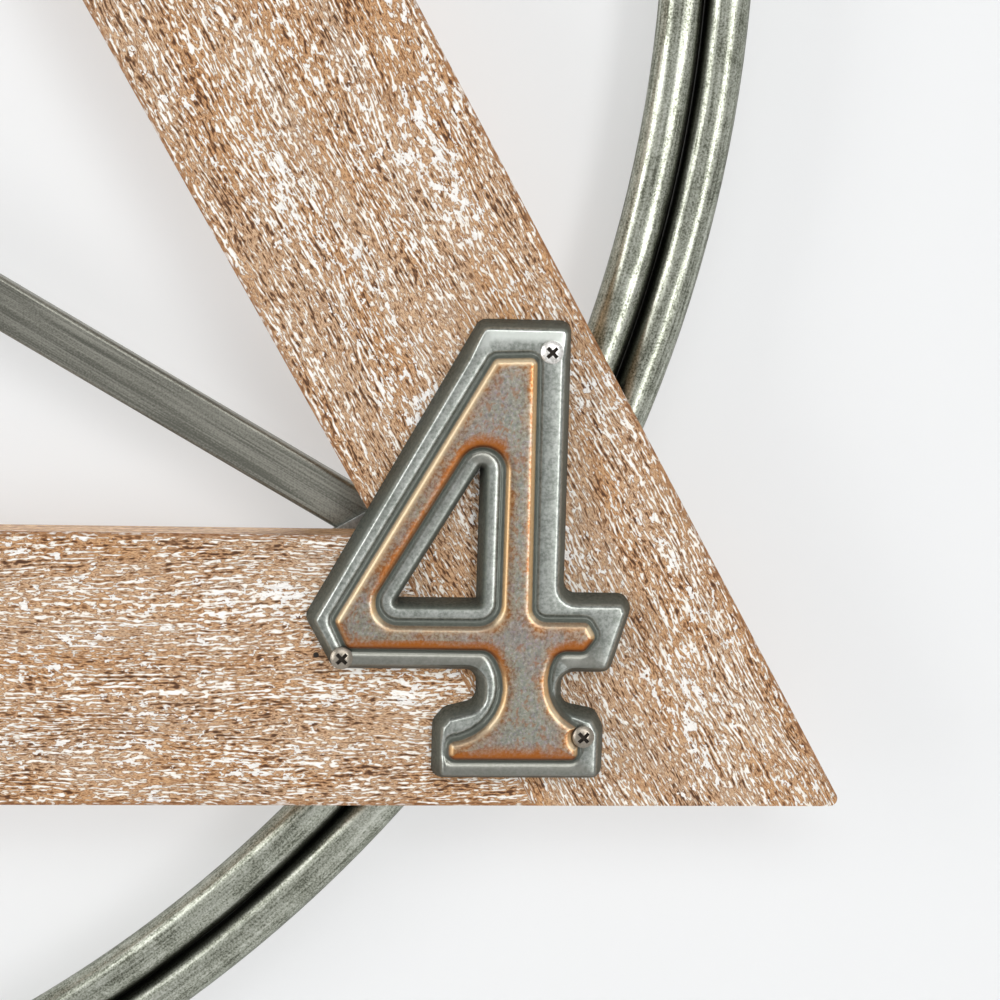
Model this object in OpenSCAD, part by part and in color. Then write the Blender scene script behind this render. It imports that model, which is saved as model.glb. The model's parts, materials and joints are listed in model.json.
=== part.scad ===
// Wall clock: an open triangle of three whitewashed planks over a double steel
// ring, with stamped numerals at the corners and a quartz movement at the hub.
// Origin: the seat of the wall screw in the hanger, on the plane of the wall.
// +X is right as seen from the front, +Z is up and the front faces -Y.

/* [Planks] */
// Width of each plank
plank_w = 70; // [60:1:80]
// Thickness of each plank
plank_t = 9; // [8:0.5:14]
// Distance from the ring's line in to the inner corners of the planks
corner_inset = 38; // [35:1:41]
// Radius that softens each tip
tip_round = 2; // [0.5:0.5:6]
// Stand-off of the planks' backs from the wall
stand_off = 21; // [21:1:30]

/* [Ring] */
// Diameter of each tube
tube_d = 11.5; // [9:0.5:12]
// Wall of each tube
tube_wall = 0.9; // [0.6:0.1:2]
// Radius of the line where the two tubes meet
ring_r = 340; // [335:1:345]
// Gap that is left between the two tubes
tube_gap = 0.1; // [0.05:0.05:0.5]

/* [Spokes and hub] */
// Width of each spoke across its face
spoke_w = 12; // [8:0.5:16]
// Depth of each spoke from front to back
spoke_t = 6; // [4:0.5:7]
// Radius that softens the long edges of a spoke
spoke_round = 1.2; // [0.2:0.1:1.5]
// Gap at the weld between a spoke's end and the inner tube
weld_gap = 0.15; // [0.05:0.05:0.5]
// Radius of the hub disc
hub_r = 52; // [48:1:60]
// Thickness of the hub disc
hub_t = 1.2; // [1:0.1:2]
// Radius of the raised bead around the hub disc
hub_bead = 1.6; // [1:0.1:2.5]

/* [Numerals] */
// Height of a numeral
num_h = 117.4; // [112:0.1:120]
// Distance that the numerals 4 and 8 stand in, across, from where their corners meet the ring
side_num_in = 10.75; // [6:0.25:14]
// Distance that the numerals 4 and 8 stand above where their corners meet the ring
side_num_up = 15.3; // [12:0.1:18]
// Distance that the numerals 1 and 2 stand below the top of the ring's line
top_num_drop = 51; // [47:1:55]
// Width of the rim around the raised middle of a numeral
rim_w = 8.7; // [7.5:0.1:9]
// Width of the rim towards the hole in a 4 or an 8
eye_rim_w = 6; // [5:0.1:7]
// Height of the rim above the wood
rim_h = 6.5; // [5:0.5:8]
// Height of the raised middle above the wood
middle_h = 8.5; // [8:0.5:10]
// Corner radius of a numeral's outline
outline_round = 3; // [1:0.5:4]
// Corner radius of the raised middle
middle_round = 1.6; // [0.5:0.1:2]
// Radius in the inner corners of the raised middle
hollow_round = 4; // [2:0.5:5]
// Thickness of the stamped sheet
sheet_t = 0.8; // [0.5:0.1:1.2]

/* [Hands] */
// Hour at which the hands rest
rest_hour = 10; // [0:1:11]
// Minute at which the hands rest
rest_minute = 10; // [0:1:59]
// Length of the hour hand
hour_len = 150; // [110:1:170]
// Length of the minute hand
minute_len = 212; // [180:1:230]
// Length of each hand's tail
tail_len = 42; // [30:1:60]
// Thickness of a hand
hand_t = 0.8; // [0.5:0.1:1.2]
// Gap between the planks' fronts and the hour hand's collar
hand_gap = 1; // [1:0.5:4]

/* [Movement] */
// Width of the movement case, which holds the battery across it
case_w = 56; // [50:1:62]
// Depth of the movement case without its cover
case_t = 14; // [14:0.5:15]
// Wall of the movement case
case_wall = 1.2; // [1:0.1:1.5]
// Thickness of the case's front and of its cover
floor_t = 1; // [1:0.1:1.5]
// Radius of the threaded bush
bush_r = 3.9; // [3.8:0.1:4.2]
// Radius of the hour tube
hour_tube_r = 2.75; // [2.6:0.05:3]
// Radius of the minute arbor
minute_r = 1.75; // [1.6:0.05:1.9]
// Running clearance of shafts in their bores
run_gap = 0.05; // [0.02:0.01:0.08]
// Thickness of a gear
gear_t = 1; // [0.8:0.1:1.2]
// Radius of the time-setting knob
knob_r = 7; // [5:0.5:8]
// Thickness of the time-setting knob
knob_t = 2.5; // [1.5:0.1:2.6]
// Radius of the battery
battery_r = 7.15; // [7:0.05:7.25]
// Distance that each battery contact stands in from the case
contact_bump = 1.15; // [0.5:0.05:3]

/* [Hanger and bumpers] */
// Distance from the top of the ring's line down to the hanger's seat
hang_drop = 20; // [18:1:23]
// Width of the hanger plate
hanger_w = 34; // [28:1:50]
// Thickness of the hanger plate
hanger_t = 1.5; // [1:0.1:2]
// Radius of the hanger's entry hole
entry_r = 5; // [4.5:0.1:6]
// Width of the hanger's slot
slot_w = 4.6; // [4.2:0.1:5.5]
// Distance from the entry hole up to the seat
slot_len = 12; // [10:0.5:13]
// Radius of a bumper at the wood
bumper_r = 10; // [8:0.5:12]
// Radius of a bumper at the wall
bumper_nose_r = 8; // [6:0.5:10]
// Distance from the ring's line out to each bumper
bumper_reach = 56; // [50:1:60]

/* [Corner plates and straps] */
// Length of a corner plate
corner_len = 52; // [48:1:54]
// Gap between a corner plate and the ring
corner_gap = 0.3; // [0.1:0.1:1]
// Thickness of a corner plate
corner_t = 2; // [1.5:0.5:2.5]
// How far a corner plate shows inside the corner of the planks
corner_show = 5.8; // [3:0.1:8]
// Width of a ring strap
strap_w = 12; // [8:1:12]
// Thickness of a ring strap
strap_t = 1.2; // [0.8:0.1:1.5]
// Angle between a strap and its corner, around the ring
strap_angle = 6; // [6:0.5:7]
// Length of a strap's foot
strap_foot = 11; // [9:0.5:12]

/* [Screws] */
// Radius of a numeral screw's pan head
pan_r = 2.8; // [2.4:0.1:3.2]
// Height of a pan head
pan_h = 2; // [1.4:0.1:2.6]
// Radius of a screw's shank
shank_r = 1.45; // [1.2:0.05:1.6]
// Depth of a screw's hole in a plank
bite = 7; // [5:0.5:7.5]
// Radius of a countersunk head
flat_r = 2.9; // [2.4:0.1:3.2]

/* [Hidden] */
$fn = 64;
eps = 0.01;

// Angles of the three corners around the dial, counter-clockwise from +X
corner_12 = 90;
corner_4 = -30;
corner_8 = 210;
corners = [corner_12, corner_4, corner_8];

// Depths, measured from the wall towards the front as negative Y
wood_back = -stand_off;
wood_front = wood_back - plank_t;
tube_r = tube_d / 2;
tube_y = wood_back + tube_r;
plate_back = wood_back + corner_t;
spoke_back = plate_back + spoke_t;
gasket_t = 0.8;
case_front = plate_back + gasket_t;
case_back = case_front + case_t;
floor_in = case_front + floor_t;
cover_back = case_back + floor_t;
washer_t = 0.5;
nut_t = 2.5;

// The ring's edges, and the triangle, whose inner corners lie inside the ring
ring_in = ring_r - tube_d - tube_gap / 2;
ring_out = ring_r + tube_d + tube_gap / 2;
inner_corner_r = ring_r - corner_inset;
inner_edge_r = inner_corner_r / 2;
edge_r = inner_edge_r + plank_w;
hang_r = ring_r - hang_drop;
bumper_at = ring_r + bumper_reach;

// ---- Placing and basic shapes ----

module at_dial() translate([0, 0, -hang_r]) children();

// Extrudes a flat shape of the dial's plane forwards from y_back
module sheet(y_back, thick)
    translate([0, y_back, 0]) rotate([90, 0, 0]) linear_extrude(thick) children();

// A rod along Y from y_back forwards
module rod(y_back, len, r)
    translate([0, y_back, 0]) rotate([90, 0, 0]) cylinder(h = len, r = r);

// A shape turned about Y: x is its radius and y is its distance forwards from y_back
module turned(y_back) translate([0, y_back, 0]) rotate([90, 0, 0]) rotate_extrude($fn = 96) children();

// Turns children so that +X points outwards at an angle around the dial
module around(angle) rotate([0, -angle, 0]) children();

module at(p) translate([p[0], 0, p[1]]) children();

function polar(r, a) = [r * cos(a), r * sin(a)];
function turn(p, a) = [p[0] * cos(a) - p[1] * sin(a), p[0] * sin(a) + p[1] * cos(a)];
function arc(c, r, a0, a1, n = 8) = [for (i = [0 : n]) c + polar(r, a0 + (a1 - a0) * i / n)];

// ---- Places of the screws ----

num_4_at = polar(ring_r, corner_4) + [-side_num_in, side_num_up];
num_8_at = polar(ring_r, corner_8) + [side_num_in, side_num_up];
num_1_at = [-37.5, ring_r - top_num_drop];
num_2_at = [23.5, ring_r - top_num_drop];
screws_4 = [[18, 51.5], [-32, -26], [29.4, -46]];
screws_8 = [[-15.5, 50.5], [32, -27], [-32, -27]];
screws_1 = [[5, 53.5], [-9.5, -10], [-18, -53]];
screws_2 = [[-25.5, 43], [27.5, 36], [32.5, -53]];
// The numerals and their screws are laid out at a height of drawn_h
drawn_h = 117.4;
num_k = num_h / drawn_h;
function shifted(points, by) = [for (p = points) p * num_k + by];
numeral_screw_at = concat(
    shifted(screws_4, num_4_at), shifted(screws_8, num_8_at),
    shifted(screws_1, num_1_at), shifted(screws_2, num_2_at));

// A corner plate lies along the line at right angles to the planks' joint. It reaches
// from corner_show inside the inner corner out to corner_gap from the ring
corner_plate_turn = 60;
corner_plate_slip = -5;
corner_far = corner_len / 2 + corner_plate_slip;
corner_limit = ring_in - corner_gap;
corner_out = (sqrt(4 * (pow(corner_limit, 2) - pow(corner_far, 2) - inner_corner_r * corner_far)
    - pow(inner_corner_r, 2)) - sqrt(3) * inner_corner_r) / 2;
corner_w = corner_show + corner_out;
corner_screw_edge = 6;
corner_screw_u = corner_len / 2 - corner_screw_edge;
corner_screw_v = corner_w / 2 - corner_screw_edge;
corner_in = corner_w / 2 - corner_show;
corner_plate_mid = polar(corner_in, -corner_plate_turn / 2);
corner_plate_at = [inner_corner_r + corner_plate_mid[0], corner_plate_mid[1]]
    + polar(corner_plate_slip, corner_plate_turn);
corner_screw_at = [for (c = corners, u = [-1, 1], v = [-1, 1])
    turn(corner_plate_at + turn([u * corner_screw_u, v * corner_screw_v], corner_plate_turn), c)];

// Straps cross both tubes; their feet are screwed to the planks
strap_clear = 0.2;
strap_in = ring_in - strap_clear - strap_t;
strap_out = ring_out + strap_clear + strap_t;
strap_screw_in = strap_in - strap_foot / 2;
strap_screw_out = strap_out + strap_foot / 2;
strap_angles = [for (c = corners, s = [-1, 1]) c + s * strap_angle];
strap_screw_at = [for (a = strap_angles, r = [strap_screw_in, strap_screw_out]) polar(r, a)];

bumper_places = [for (c = corners) polar(bumper_at, c)];

module holes_front(places, r, depth)
    for (p = places) at(p) rod(wood_front + depth, depth + 1, r);
module holes_back(places, r, depth)
    for (p = places) at(p) rod(wood_back + 1, depth + 1, r);

// ---- Layout of the gears and of the case ----

function apart(n1, n2, m) = (n1 + n2) * m / 2;

// Teeth and modules of the motion work
cannon_n = 12;
works_n = 36;
works_m = 0.5;
works_pinion_n = 10;
hour_n = 40;
hour_m = works_m * (cannon_n + works_n) / (works_pinion_n + hour_n);
knob_n = 12;
// Teeth and modules of the going train
leaf_n = 8;
centre_n = 60;
centre_m = 0.35;
third_n = 64;
third_m = 0.3;
second_n = 32;
second_m = 0.45;
inter_n = 60;
inter_m = 0.25;

// Directions from each arbor to the next
works_dir = 150;
knob_dir = 90;
third_dir = 40;
second_dir = 100;
inter_dir = 200;
rotor_dir = 130;

// Places of the arbors
works_at = polar(apart(cannon_n, works_n, works_m), works_dir);
knob_at = works_at + polar(apart(works_n, knob_n, works_m), knob_dir);
third_at = polar(apart(centre_n, leaf_n, centre_m), third_dir);
second_at = third_at + polar(apart(third_n, leaf_n, third_m), second_dir);
inter_at = second_at + polar(apart(second_n, leaf_n, second_m), inter_dir);
rotor_at = inter_at + polar(apart(inter_n, leaf_n, inter_m), rotor_dir);

bay_gap = 0.6;
bay_play = 0.2;
train_gap = 1.315;
// The case is as wide as its size says and as high as the battery bay below the centre
// wheel and the second wheel above it need
half = case_w / 2;
bay_rim = -centre_n * centre_m / 2 - bay_gap;
bay_top = bay_rim - floor_t;
battery_z = bay_top - bay_play - battery_r;
case_low = battery_z - battery_r - bay_play - case_wall;
case_high = second_at[1] + second_n * second_m / 2 + train_gap + case_wall;

// ---- Planks ----

// Outline of the bottom plank: it runs through to the tip at 8 and butts at 4
slope = tan(30);
tip_x = edge_r * sqrt(3);
module plank_shape()
    polygon(concat(
        arc([-tip_x + 2 * tip_round * cos(30), -edge_r + tip_round], tip_round, 150, 270, 6),
        [[inner_edge_r * sqrt(3) + plank_w * slope, -edge_r], [inner_edge_r * sqrt(3), -inner_edge_r],
         [-tip_x + plank_w * slope, -inner_edge_r]]));

function near(places, angle) = [for (p = places) if (on_plank(p, angle)) p];
// True where a point lies on the plank that is turned by angle from the bottom one
function on_plank(p, angle) = let (q = turn(p, -angle))
    q[1] < -inner_edge_r && q[0] < inner_edge_r * sqrt(3) + (-inner_edge_r - q[1]) * slope;

module plank(angle)
    color("tan") at_dial() difference() {
        around(angle) sheet(wood_back, plank_t) plank_shape();
        holes_front(near(numeral_screw_at, angle), shank_r, bite);
        holes_back(near(concat(corner_screw_at, strap_screw_at), angle), shank_r, bite);
        holes_back(near(bumper_places, angle), shank_r, bite);
    }

module plank_bottom() plank(0);
module plank_right() plank(120);
module plank_left() plank(240);

// ---- Ring ----

module tube_ring(r)
    color("darkgray") at_dial() turned(tube_y) difference() {
        translate([r, 0]) circle(r = tube_r);
        translate([r, 0]) circle(r = tube_r - tube_wall);
    }

module ring_outer_tube() tube_ring(ring_r + tube_r + tube_gap / 2);
module ring_inner_tube() tube_ring(ring_r - tube_r - tube_gap / 2);

// ---- Spokes and hub ----

spoke_in = norm([half, max(case_high, -case_low)]) + 3;

// Cross-section of a spoke, rounded along its four edges
module spoke_section() {
    a = spoke_w / 2 - spoke_round;
    b = spoke_t / 2 - spoke_round;
    polygon(concat(
        arc([a, b], spoke_round, 0, 90, 5), arc([-a, b], spoke_round, 90, 180, 5),
        arc([-a, -b], spoke_round, 180, 270, 5), arc([a, -b], spoke_round, 270, 360, 5)));
}

module spoke(angle)
    color("dimgray") at_dial() around(angle)
        translate([spoke_in, plate_back + spoke_t / 2, 0]) rotate([90, 0, 90])
            linear_extrude(ring_in - weld_gap - spoke_in) rotate(90) spoke_section();

module spoke_12() spoke(corner_12);
module spoke_4() spoke(corner_4);
module spoke_8() spoke(corner_8);

bush_hole_gap = 0.1;
module hub_disc()
    color("darkgray") at_dial() turned(plate_back) {
        translate([bush_r + bush_hole_gap, 0]) square([hub_r - bush_r - bush_hole_gap, hub_t]);
        intersection() {
            translate([hub_r - hub_bead, hub_t]) circle(r = hub_bead);
            translate([hub_r - 2 * hub_bead, hub_t - eps]) square(2 * hub_bead);
        }
    }

// ---- Corner plates, straps and their screws ----

module corner_plate(angle)
    color("slategray") at_dial() around(angle) at(corner_plate_at) around(corner_plate_turn)
        difference() {
            translate([-corner_len / 2, wood_back, -corner_w / 2]) cube([corner_len, corner_t, corner_w]);
            for (u = [-1, 1], v = [-1, 1])
                translate([u * corner_screw_u, plate_back, v * corner_screw_v]) screw_sink(corner_t);
        }

// Hole for a countersunk screw that goes in forwards from the back of a plate
module screw_sink(thick) rotate([90, 0, 0]) {
    translate([0, 0, -eps]) cylinder(h = flat_r - shank_r + eps, r1 = flat_r + eps, r2 = shank_r);
    translate([0, 0, -eps]) cylinder(h = thick + 2 * eps, r = shank_r);
}

module corner_plate_12() corner_plate(corner_12);
module corner_plate_4() corner_plate(corner_4);
module corner_plate_8() corner_plate(corner_8);

cross_len = 3.4;
cross_w = 0.9;
cross_depth = 1.1;
module cross_recess(depth)
    for (a = [45, 135]) rotate(a) translate([-cross_len / 2, -cross_w / 2, -eps]) cube([cross_len, cross_w, depth + eps]);

// Countersunk screw whose flat head lies at the origin and that points forwards
module flat_screw(len) rotate([90, 0, 0]) difference() {
    union() {
        cylinder(h = flat_r - shank_r, r1 = flat_r, r2 = shank_r);
        cylinder(h = len - shank_r, r = shank_r);
        translate([0, 0, len - shank_r - eps]) cylinder(h = shank_r, r1 = shank_r, r2 = shank_r / 5);
    }
    cross_recess(cross_depth);
}

point_gap = 0.3;
module corner_plate_screws()
    color("silver") at_dial() for (p = corner_screw_at)
        translate([p[0], plate_back, p[1]]) flat_screw(corner_t + bite - point_gap);

// Side view of a strap: radius along X and distance behind the wood along Y
module strap_section() {
    top = tube_d + strap_clear;
    difference() {
        union() {
            translate([strap_in, 0]) square([strap_out - strap_in, top + strap_t]);
            translate([strap_in - strap_foot, 0]) square([strap_out - strap_in + 2 * strap_foot, strap_t]);
        }
        translate([strap_in + strap_t, -eps]) square([strap_out - strap_in - 2 * strap_t, top + eps]);
    }
}

module ring_strap(angle) around(angle) difference() {
    translate([0, wood_back, -strap_w / 2]) linear_extrude(strap_w) strap_section();
    for (r = [strap_screw_in, strap_screw_out]) at([r, 0]) rod(wood_back + strap_t + eps, strap_t + 2 * eps, shank_r);
}

module ring_straps() color("slategray") at_dial() for (a = strap_angles) ring_strap(a);

// Pan-head screw whose head seats at the origin and that points towards -Z
module pan_screw(len) difference() {
    union() {
        rotate_extrude() intersection() {
            translate([0, pan_h - pan_dome]) circle(r = pan_dome);
            square([pan_r, pan_h]);
        }
        translate([0, 0, shank_r - len]) cylinder(h = len - shank_r + eps, r = shank_r);
        translate([0, 0, -len]) cylinder(h = shank_r + eps, r1 = shank_r / 5, r2 = shank_r);
    }
    translate([0, 0, pan_h - cross_depth]) cross_recess(cross_depth + 1);
}
// Radius of the dome on a pan head, which leaves its edge half as high as its middle
pan_dome = (pan_r * pan_r + pan_h * pan_h / 4) / pan_h;

module ring_strap_screws()
    color("silver") at_dial() for (p = strap_screw_at)
        translate([p[0], wood_back + strap_t, p[1]]) rotate([-90, 0, 0]) pan_screw(strap_t + bite - point_gap);

// ---- Numerals ----

// The 4: its outline, the filled raised middle, and the hole through the middle
module four_outline()
    polygon([[0.6, 58.7], [23.5, 58.7], [24, -10.2], [39.4, -10.2], [41.4, -14], [36.4, -30.8], [24.2, -30.8],
        [24.2, -38.6], [33, -40.4], [35.4, -45], [35.4, -58.7], [-8.4, -58.7], [-8.4, -43.5], [-5.5, -40],
        [2.4, -38], [2.4, -30.3], [-33.8, -30.3], [-41.2, -16.8]]);
module four_fill() {
    polygon([[4.1, 49.5], [14.4, 49.9], [15.2, -16.6], [29.4, -16.6], [31.6, -20.2], [28.8, -23.8], [-30.6, -23.4],
        [-33.8, -16.6]]);
    difference() {
        translate([-4.4, -52]) square([32.4, 31]);
        translate([-5.5, -33.5]) circle(r = 14.3);
        translate([33.2, -31.5]) circle(r = 13.5);
    }
}
four_eye_round = 6;
module four_eye()
    offset(r = four_eye_round) offset(delta = -four_eye_round)
        polygon([[7.8, 43.8], [7.8, -17.8], [-28.5, -17.8]]);

// The 8: two round bowls
eight_top = [0, 25.5];
eight_top_r = 24.4;
eight_low = [0, -22.5];
eight_low_r = 27.4;
eight_stroke = 8;
module eight_fill() {
    translate(eight_top) circle(r = eight_top_r);
    translate(eight_low) circle(r = eight_low_r);
}
module eight_eye() {
    translate(eight_top) circle(r = eight_top_r - eight_stroke);
    translate(eight_low) circle(r = eight_low_r - eight_stroke);
}

// The 1: a stem with a flag, on a foot that flares in two round hollows
one_half = 5;
one_hollow = 13.5;
module one_fill() {
    polygon([[one_half, 50], [-1, 50], [-14, 39], [-14, 32.5], [-one_half, 36], [-one_half, -40], [one_half, -40]]);
    difference() {
        translate([-16, -51]) square([32, 17.5]);
        for (s = [-1, 1]) translate([s * (one_half + one_hollow), -33.5]) circle(r = one_hollow);
    }
}

// The 2: a bow that ends in a ball, a diagonal, and a base that turns up at its end
two_c = [0, 23];
two_r = 27;
two_stroke = 8;
two_ball_at = 166;
two_neck_at = -38;
module two_fill() {
    difference() {
        translate(two_c) circle(r = two_r);
        translate(two_c) circle(r = two_r - two_stroke);
        polygon([two_c, two_c + polar(2 * two_r, two_neck_at), two_c + [0, -70], two_c + [-60, -60],
            two_c + polar(2 * two_r, two_ball_at)]);
    }
    polygon([two_c + polar(two_r, two_neck_at), two_c + polar(two_r - two_stroke, two_neck_at), [-26, -42.5],
        [-26, -51], [-19, -51]]);
    polygon([[-26, -51], [27, -51], [29.5, -34], [22.5, -34], [20.5, -43], [-26, -43]]);
    translate(two_c + polar(two_r - two_stroke / 2, two_ball_at)) circle(r = two_stroke * 0.6);
}

// Rounds the outer corners of a shape, and its inner ones
module rounded(r) offset(r = r, $fn = 20) offset(delta = -r) children();
module hollowed(r) offset(r = -r, $fn = 24) offset(delta = r) children();

// A stamped numeral of sheet metal. Children: its outline, its filled raised middle,
// and, where eye is true, the hole through the middle
head_room = 0.3;
module stamped(place, holes, eye) {
    color("darkslategray") at_dial() at(place) difference() {
        union() {
            sheet(wood_front, rim_h) rim_shape(eye) { children(0); children(2); }
            sheet(wood_front, middle_h) middle_shape(0, eye) { children(1); children(2); }
        }
        sheet(wood_front + eps, rim_h - sheet_t + eps) offset(delta = -sheet_t)
            rim_shape(eye) { children(0); children(2); }
        sheet(wood_front + eps, middle_h - sheet_t + eps) difference() {
            middle_shape(sheet_t, eye) { children(1); children(2); }
            for (p = holes) translate(p * num_k) circle(r = pan_r + head_room + sheet_t);
        }
        for (p = holes) at(p * num_k) {
            rod(wood_front, rim_h + 1, shank_r);
            rod(wood_front - rim_h, middle_h, pan_r + head_room);
        }
    }
}

// The whole outline, with its hole
module rim_shape(eye)
    if (eye) difference() {
        rounded(outline_round) hollowed(outline_round) children(0);
        offset(delta = -eye_rim_w) children(1);
    }
    else rounded(outline_round) hollowed(outline_round) children(0);

// The raised middle, drawn in by inset
module middle_shape(inset, eye)
    if (eye) offset(delta = -inset) difference() {
        rounded(middle_round) hollowed(hollow_round) children(0);
        children(1);
    }
    else offset(delta = -inset) rounded(middle_round) hollowed(hollow_round) children(0);

module drawn() scale(num_k) children();
module widened() offset(r = rim_w) children();
module numeral_1() stamped(num_1_at, screws_1, false, $fn = 40) {
    widened() drawn() one_fill();
    drawn() one_fill();
}
module numeral_2() stamped(num_2_at, screws_2, false, $fn = 40) {
    widened() drawn() two_fill();
    drawn() two_fill();
}
module numeral_4() stamped(num_4_at, screws_4, true, $fn = 40) {
    drawn() four_outline();
    drawn() four_fill();
    drawn() four_eye();
}
module numeral_8() stamped(num_8_at, screws_8, true, $fn = 40) {
    widened() drawn() eight_fill();
    drawn() eight_fill();
    drawn() eight_eye();
}

module numeral_screws()
    color("gainsboro") at_dial() for (p = numeral_screw_at)
        translate([p[0], wood_front - rim_h, p[1]]) rotate([90, 0, 0]) pan_screw(rim_h + bite - point_gap);

// ---- Wall bumpers ----

bumper_well_r = 4;
bumper_floor = 4;
module wall_bumpers()
    color("dimgray") at_dial() for (p = bumper_places) at(p) difference() {
        translate([0, wood_back, 0]) rotate([-90, 0, 0]) cylinder(h = stand_off, r1 = bumper_r, r2 = bumper_nose_r);
        rod(eps, stand_off - bumper_floor + eps, bumper_well_r);
        rod(wood_back + bumper_floor + eps, bumper_floor + 2 * eps, shank_r);
    }

module bumper_screws()
    color("silver") at_dial() for (p = bumper_places)
        translate([p[0], wood_back + bumper_floor, p[1]]) rotate([-90, 0, 0]) pan_screw(bumper_floor + bite - point_gap);

// ---- Hanger ----

hanger_front = wood_back + tube_d;
hanger_top = ring_out - 1;
hanger_bottom = hang_r - slot_len - entry_r - 5;
module hanger_plate()
    color("slategray") at_dial() difference() {
        translate([-hanger_w / 2, hanger_front, hanger_bottom]) cube([hanger_w, hanger_t, hanger_top - hanger_bottom]);
        at([0, hang_r - slot_len]) rod(hanger_front + hanger_t + eps, hanger_t + 2 * eps, entry_r);
        at([0, hang_r]) rod(hanger_front + hanger_t + eps, hanger_t + 2 * eps, slot_w / 2);
        translate([-slot_w / 2, hanger_front - eps, hang_r - slot_len]) cube([slot_w, hanger_t + 2 * eps, slot_len]);
    }

// ---- Gears ----

tooth_up = 0.8;
tooth_down = 1.15;
root_half = 0.27;
tip_half = 0.11;
// Toothed outline: a tooth points at angle phase. Teeth are thin, to leave play
module gear_shape(teeth, m, phase) {
    pitch_r = teeth * m / 2;
    step = 360 / teeth;
    polygon([for (i = [0 : teeth - 1], k = [[-root_half, -tooth_down], [-tip_half, tooth_up],
        [tip_half, tooth_up], [root_half, -tooth_down]]) polar(pitch_r + k[1] * m, phase + (i + k[0]) * step)]);
}

// Phase of a gear that meshes at angle dir from a gear of n1 teeth with phase p1
function meshed(p1, n1, n2, dir) = dir + 180 + (dir - p1) * n1 / n2 + 180 / n2;
// Phases that put every pair in mesh
works_phase = meshed(0, cannon_n, works_n, works_dir);
hour_phase = meshed(works_phase, works_pinion_n, hour_n, works_dir + 180);
knob_phase = meshed(works_phase, works_n, knob_n, knob_dir);
third_phase = meshed(0, centre_n, leaf_n, third_dir);
second_phase = meshed(third_phase, third_n, leaf_n, second_dir);
inter_phase = meshed(second_phase, second_n, leaf_n, inter_dir);
rotor_phase = meshed(inter_phase, inter_n, leaf_n, rotor_dir);

// Backs of the gear layers, counted from the inside of the case's front
layer_gap = 0.3;
pinion_extra = 0.2;
hour_back = floor_in + layer_gap + gear_t;
works_back = hour_back + 2 * layer_gap + gear_t;
centre_back = works_back + 3 * layer_gap + gear_t;
third_back = centre_back + 3 * layer_gap + gear_t;
second_back = third_back + 3 * layer_gap + gear_t;
inter_back = second_back + 3 * layer_gap + gear_t;

arbor_r = 0.6;
pivot_r = 0.4;
pivot_len = 0.6;
shake = 0.1;
module toothed(teeth, m, phase, y_back, extra = 0)
    sheet(y_back + extra, gear_t + 2 * extra) gear_shape(teeth, m, phase);

// Arbor between the case's front and the cover, with a pivot at each end
module arbor() {
    rod(case_back - shake, case_back - floor_in - 2 * shake, arbor_r);
    rod(case_back + pivot_len, case_back - floor_in + 2 * pivot_len, pivot_r);
}

module works_wheel() color("white") at_dial() at(works_at) {
    arbor();
    toothed(works_n, works_m, works_phase, works_back);
    toothed(works_pinion_n, hour_m, works_phase, hour_back, pinion_extra);
}

module third_wheel() color("white") at_dial() at(third_at) {
    arbor();
    toothed(third_n, third_m, third_phase, third_back);
    toothed(leaf_n, centre_m, third_phase, centre_back, pinion_extra);
}

module second_wheel() color("white") at_dial() at(second_at) {
    arbor();
    toothed(second_n, second_m, second_phase, second_back);
    toothed(leaf_n, third_m, second_phase, third_back, pinion_extra);
}

module intermediate_wheel() color("white") at_dial() at(inter_at) {
    arbor();
    toothed(inter_n, inter_m, inter_phase, inter_back);
    toothed(leaf_n, second_m, inter_phase, second_back, pinion_extra);
}

magnet_r = 2.4;
magnet_t = 2.2;
magnet_back = inter_back - gear_t - 2 * layer_gap;
module rotor() color("gray") at_dial() at(rotor_at) {
    arbor();
    rod(magnet_back, magnet_t, magnet_r);
    toothed(leaf_n, inter_m, rotor_phase, inter_back, pinion_extra);
}

wheel_bore_r = 1;
collar_r = 2.2;
module centre_wheel() color("white") at_dial() difference() {
    union() {
        toothed(centre_n, centre_m, 0, centre_back);
        rod(centre_back + layer_gap, gear_t + 2 * layer_gap, collar_r);
    }
    rod(centre_back + 1, gear_t + 2, wheel_bore_r + run_gap);
}

// ---- Hands and their arbors ----

collar_t = 1.6;
hour_hand_back = wood_front - hand_gap - collar_t;
hour_tube_front = hour_hand_back - hand_t - 0.2;
minute_collar_t = 1;
minute_hand_back = hour_tube_front - 0.8 - minute_collar_t;
minute_seat_r = 1.4;
bush_front = wood_front + 1;

module hour_wheel() color("white") at_dial() difference() {
    union() {
        toothed(hour_n, hour_m, hour_phase, hour_back);
        rod(hour_back, hour_back - hour_tube_front, hour_tube_r);
    }
    rod(hour_back + 1, hour_back - hour_tube_front + 2, minute_r + run_gap);
}

module minute_arbor() color("gold") at_dial() {
    minute_front = minute_hand_back - hand_t - 1;
    rod(works_back, works_back - minute_hand_back - minute_collar_t, minute_r);
    rod(works_back, works_back - minute_front, minute_seat_r);
    toothed(cannon_n, works_m, 0, works_back, pinion_extra);
    rod(case_back - shake, case_back - works_back, wheel_bore_r);
    rod(case_back + pivot_len, 2 * pivot_len, pivot_r);
}

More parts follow.
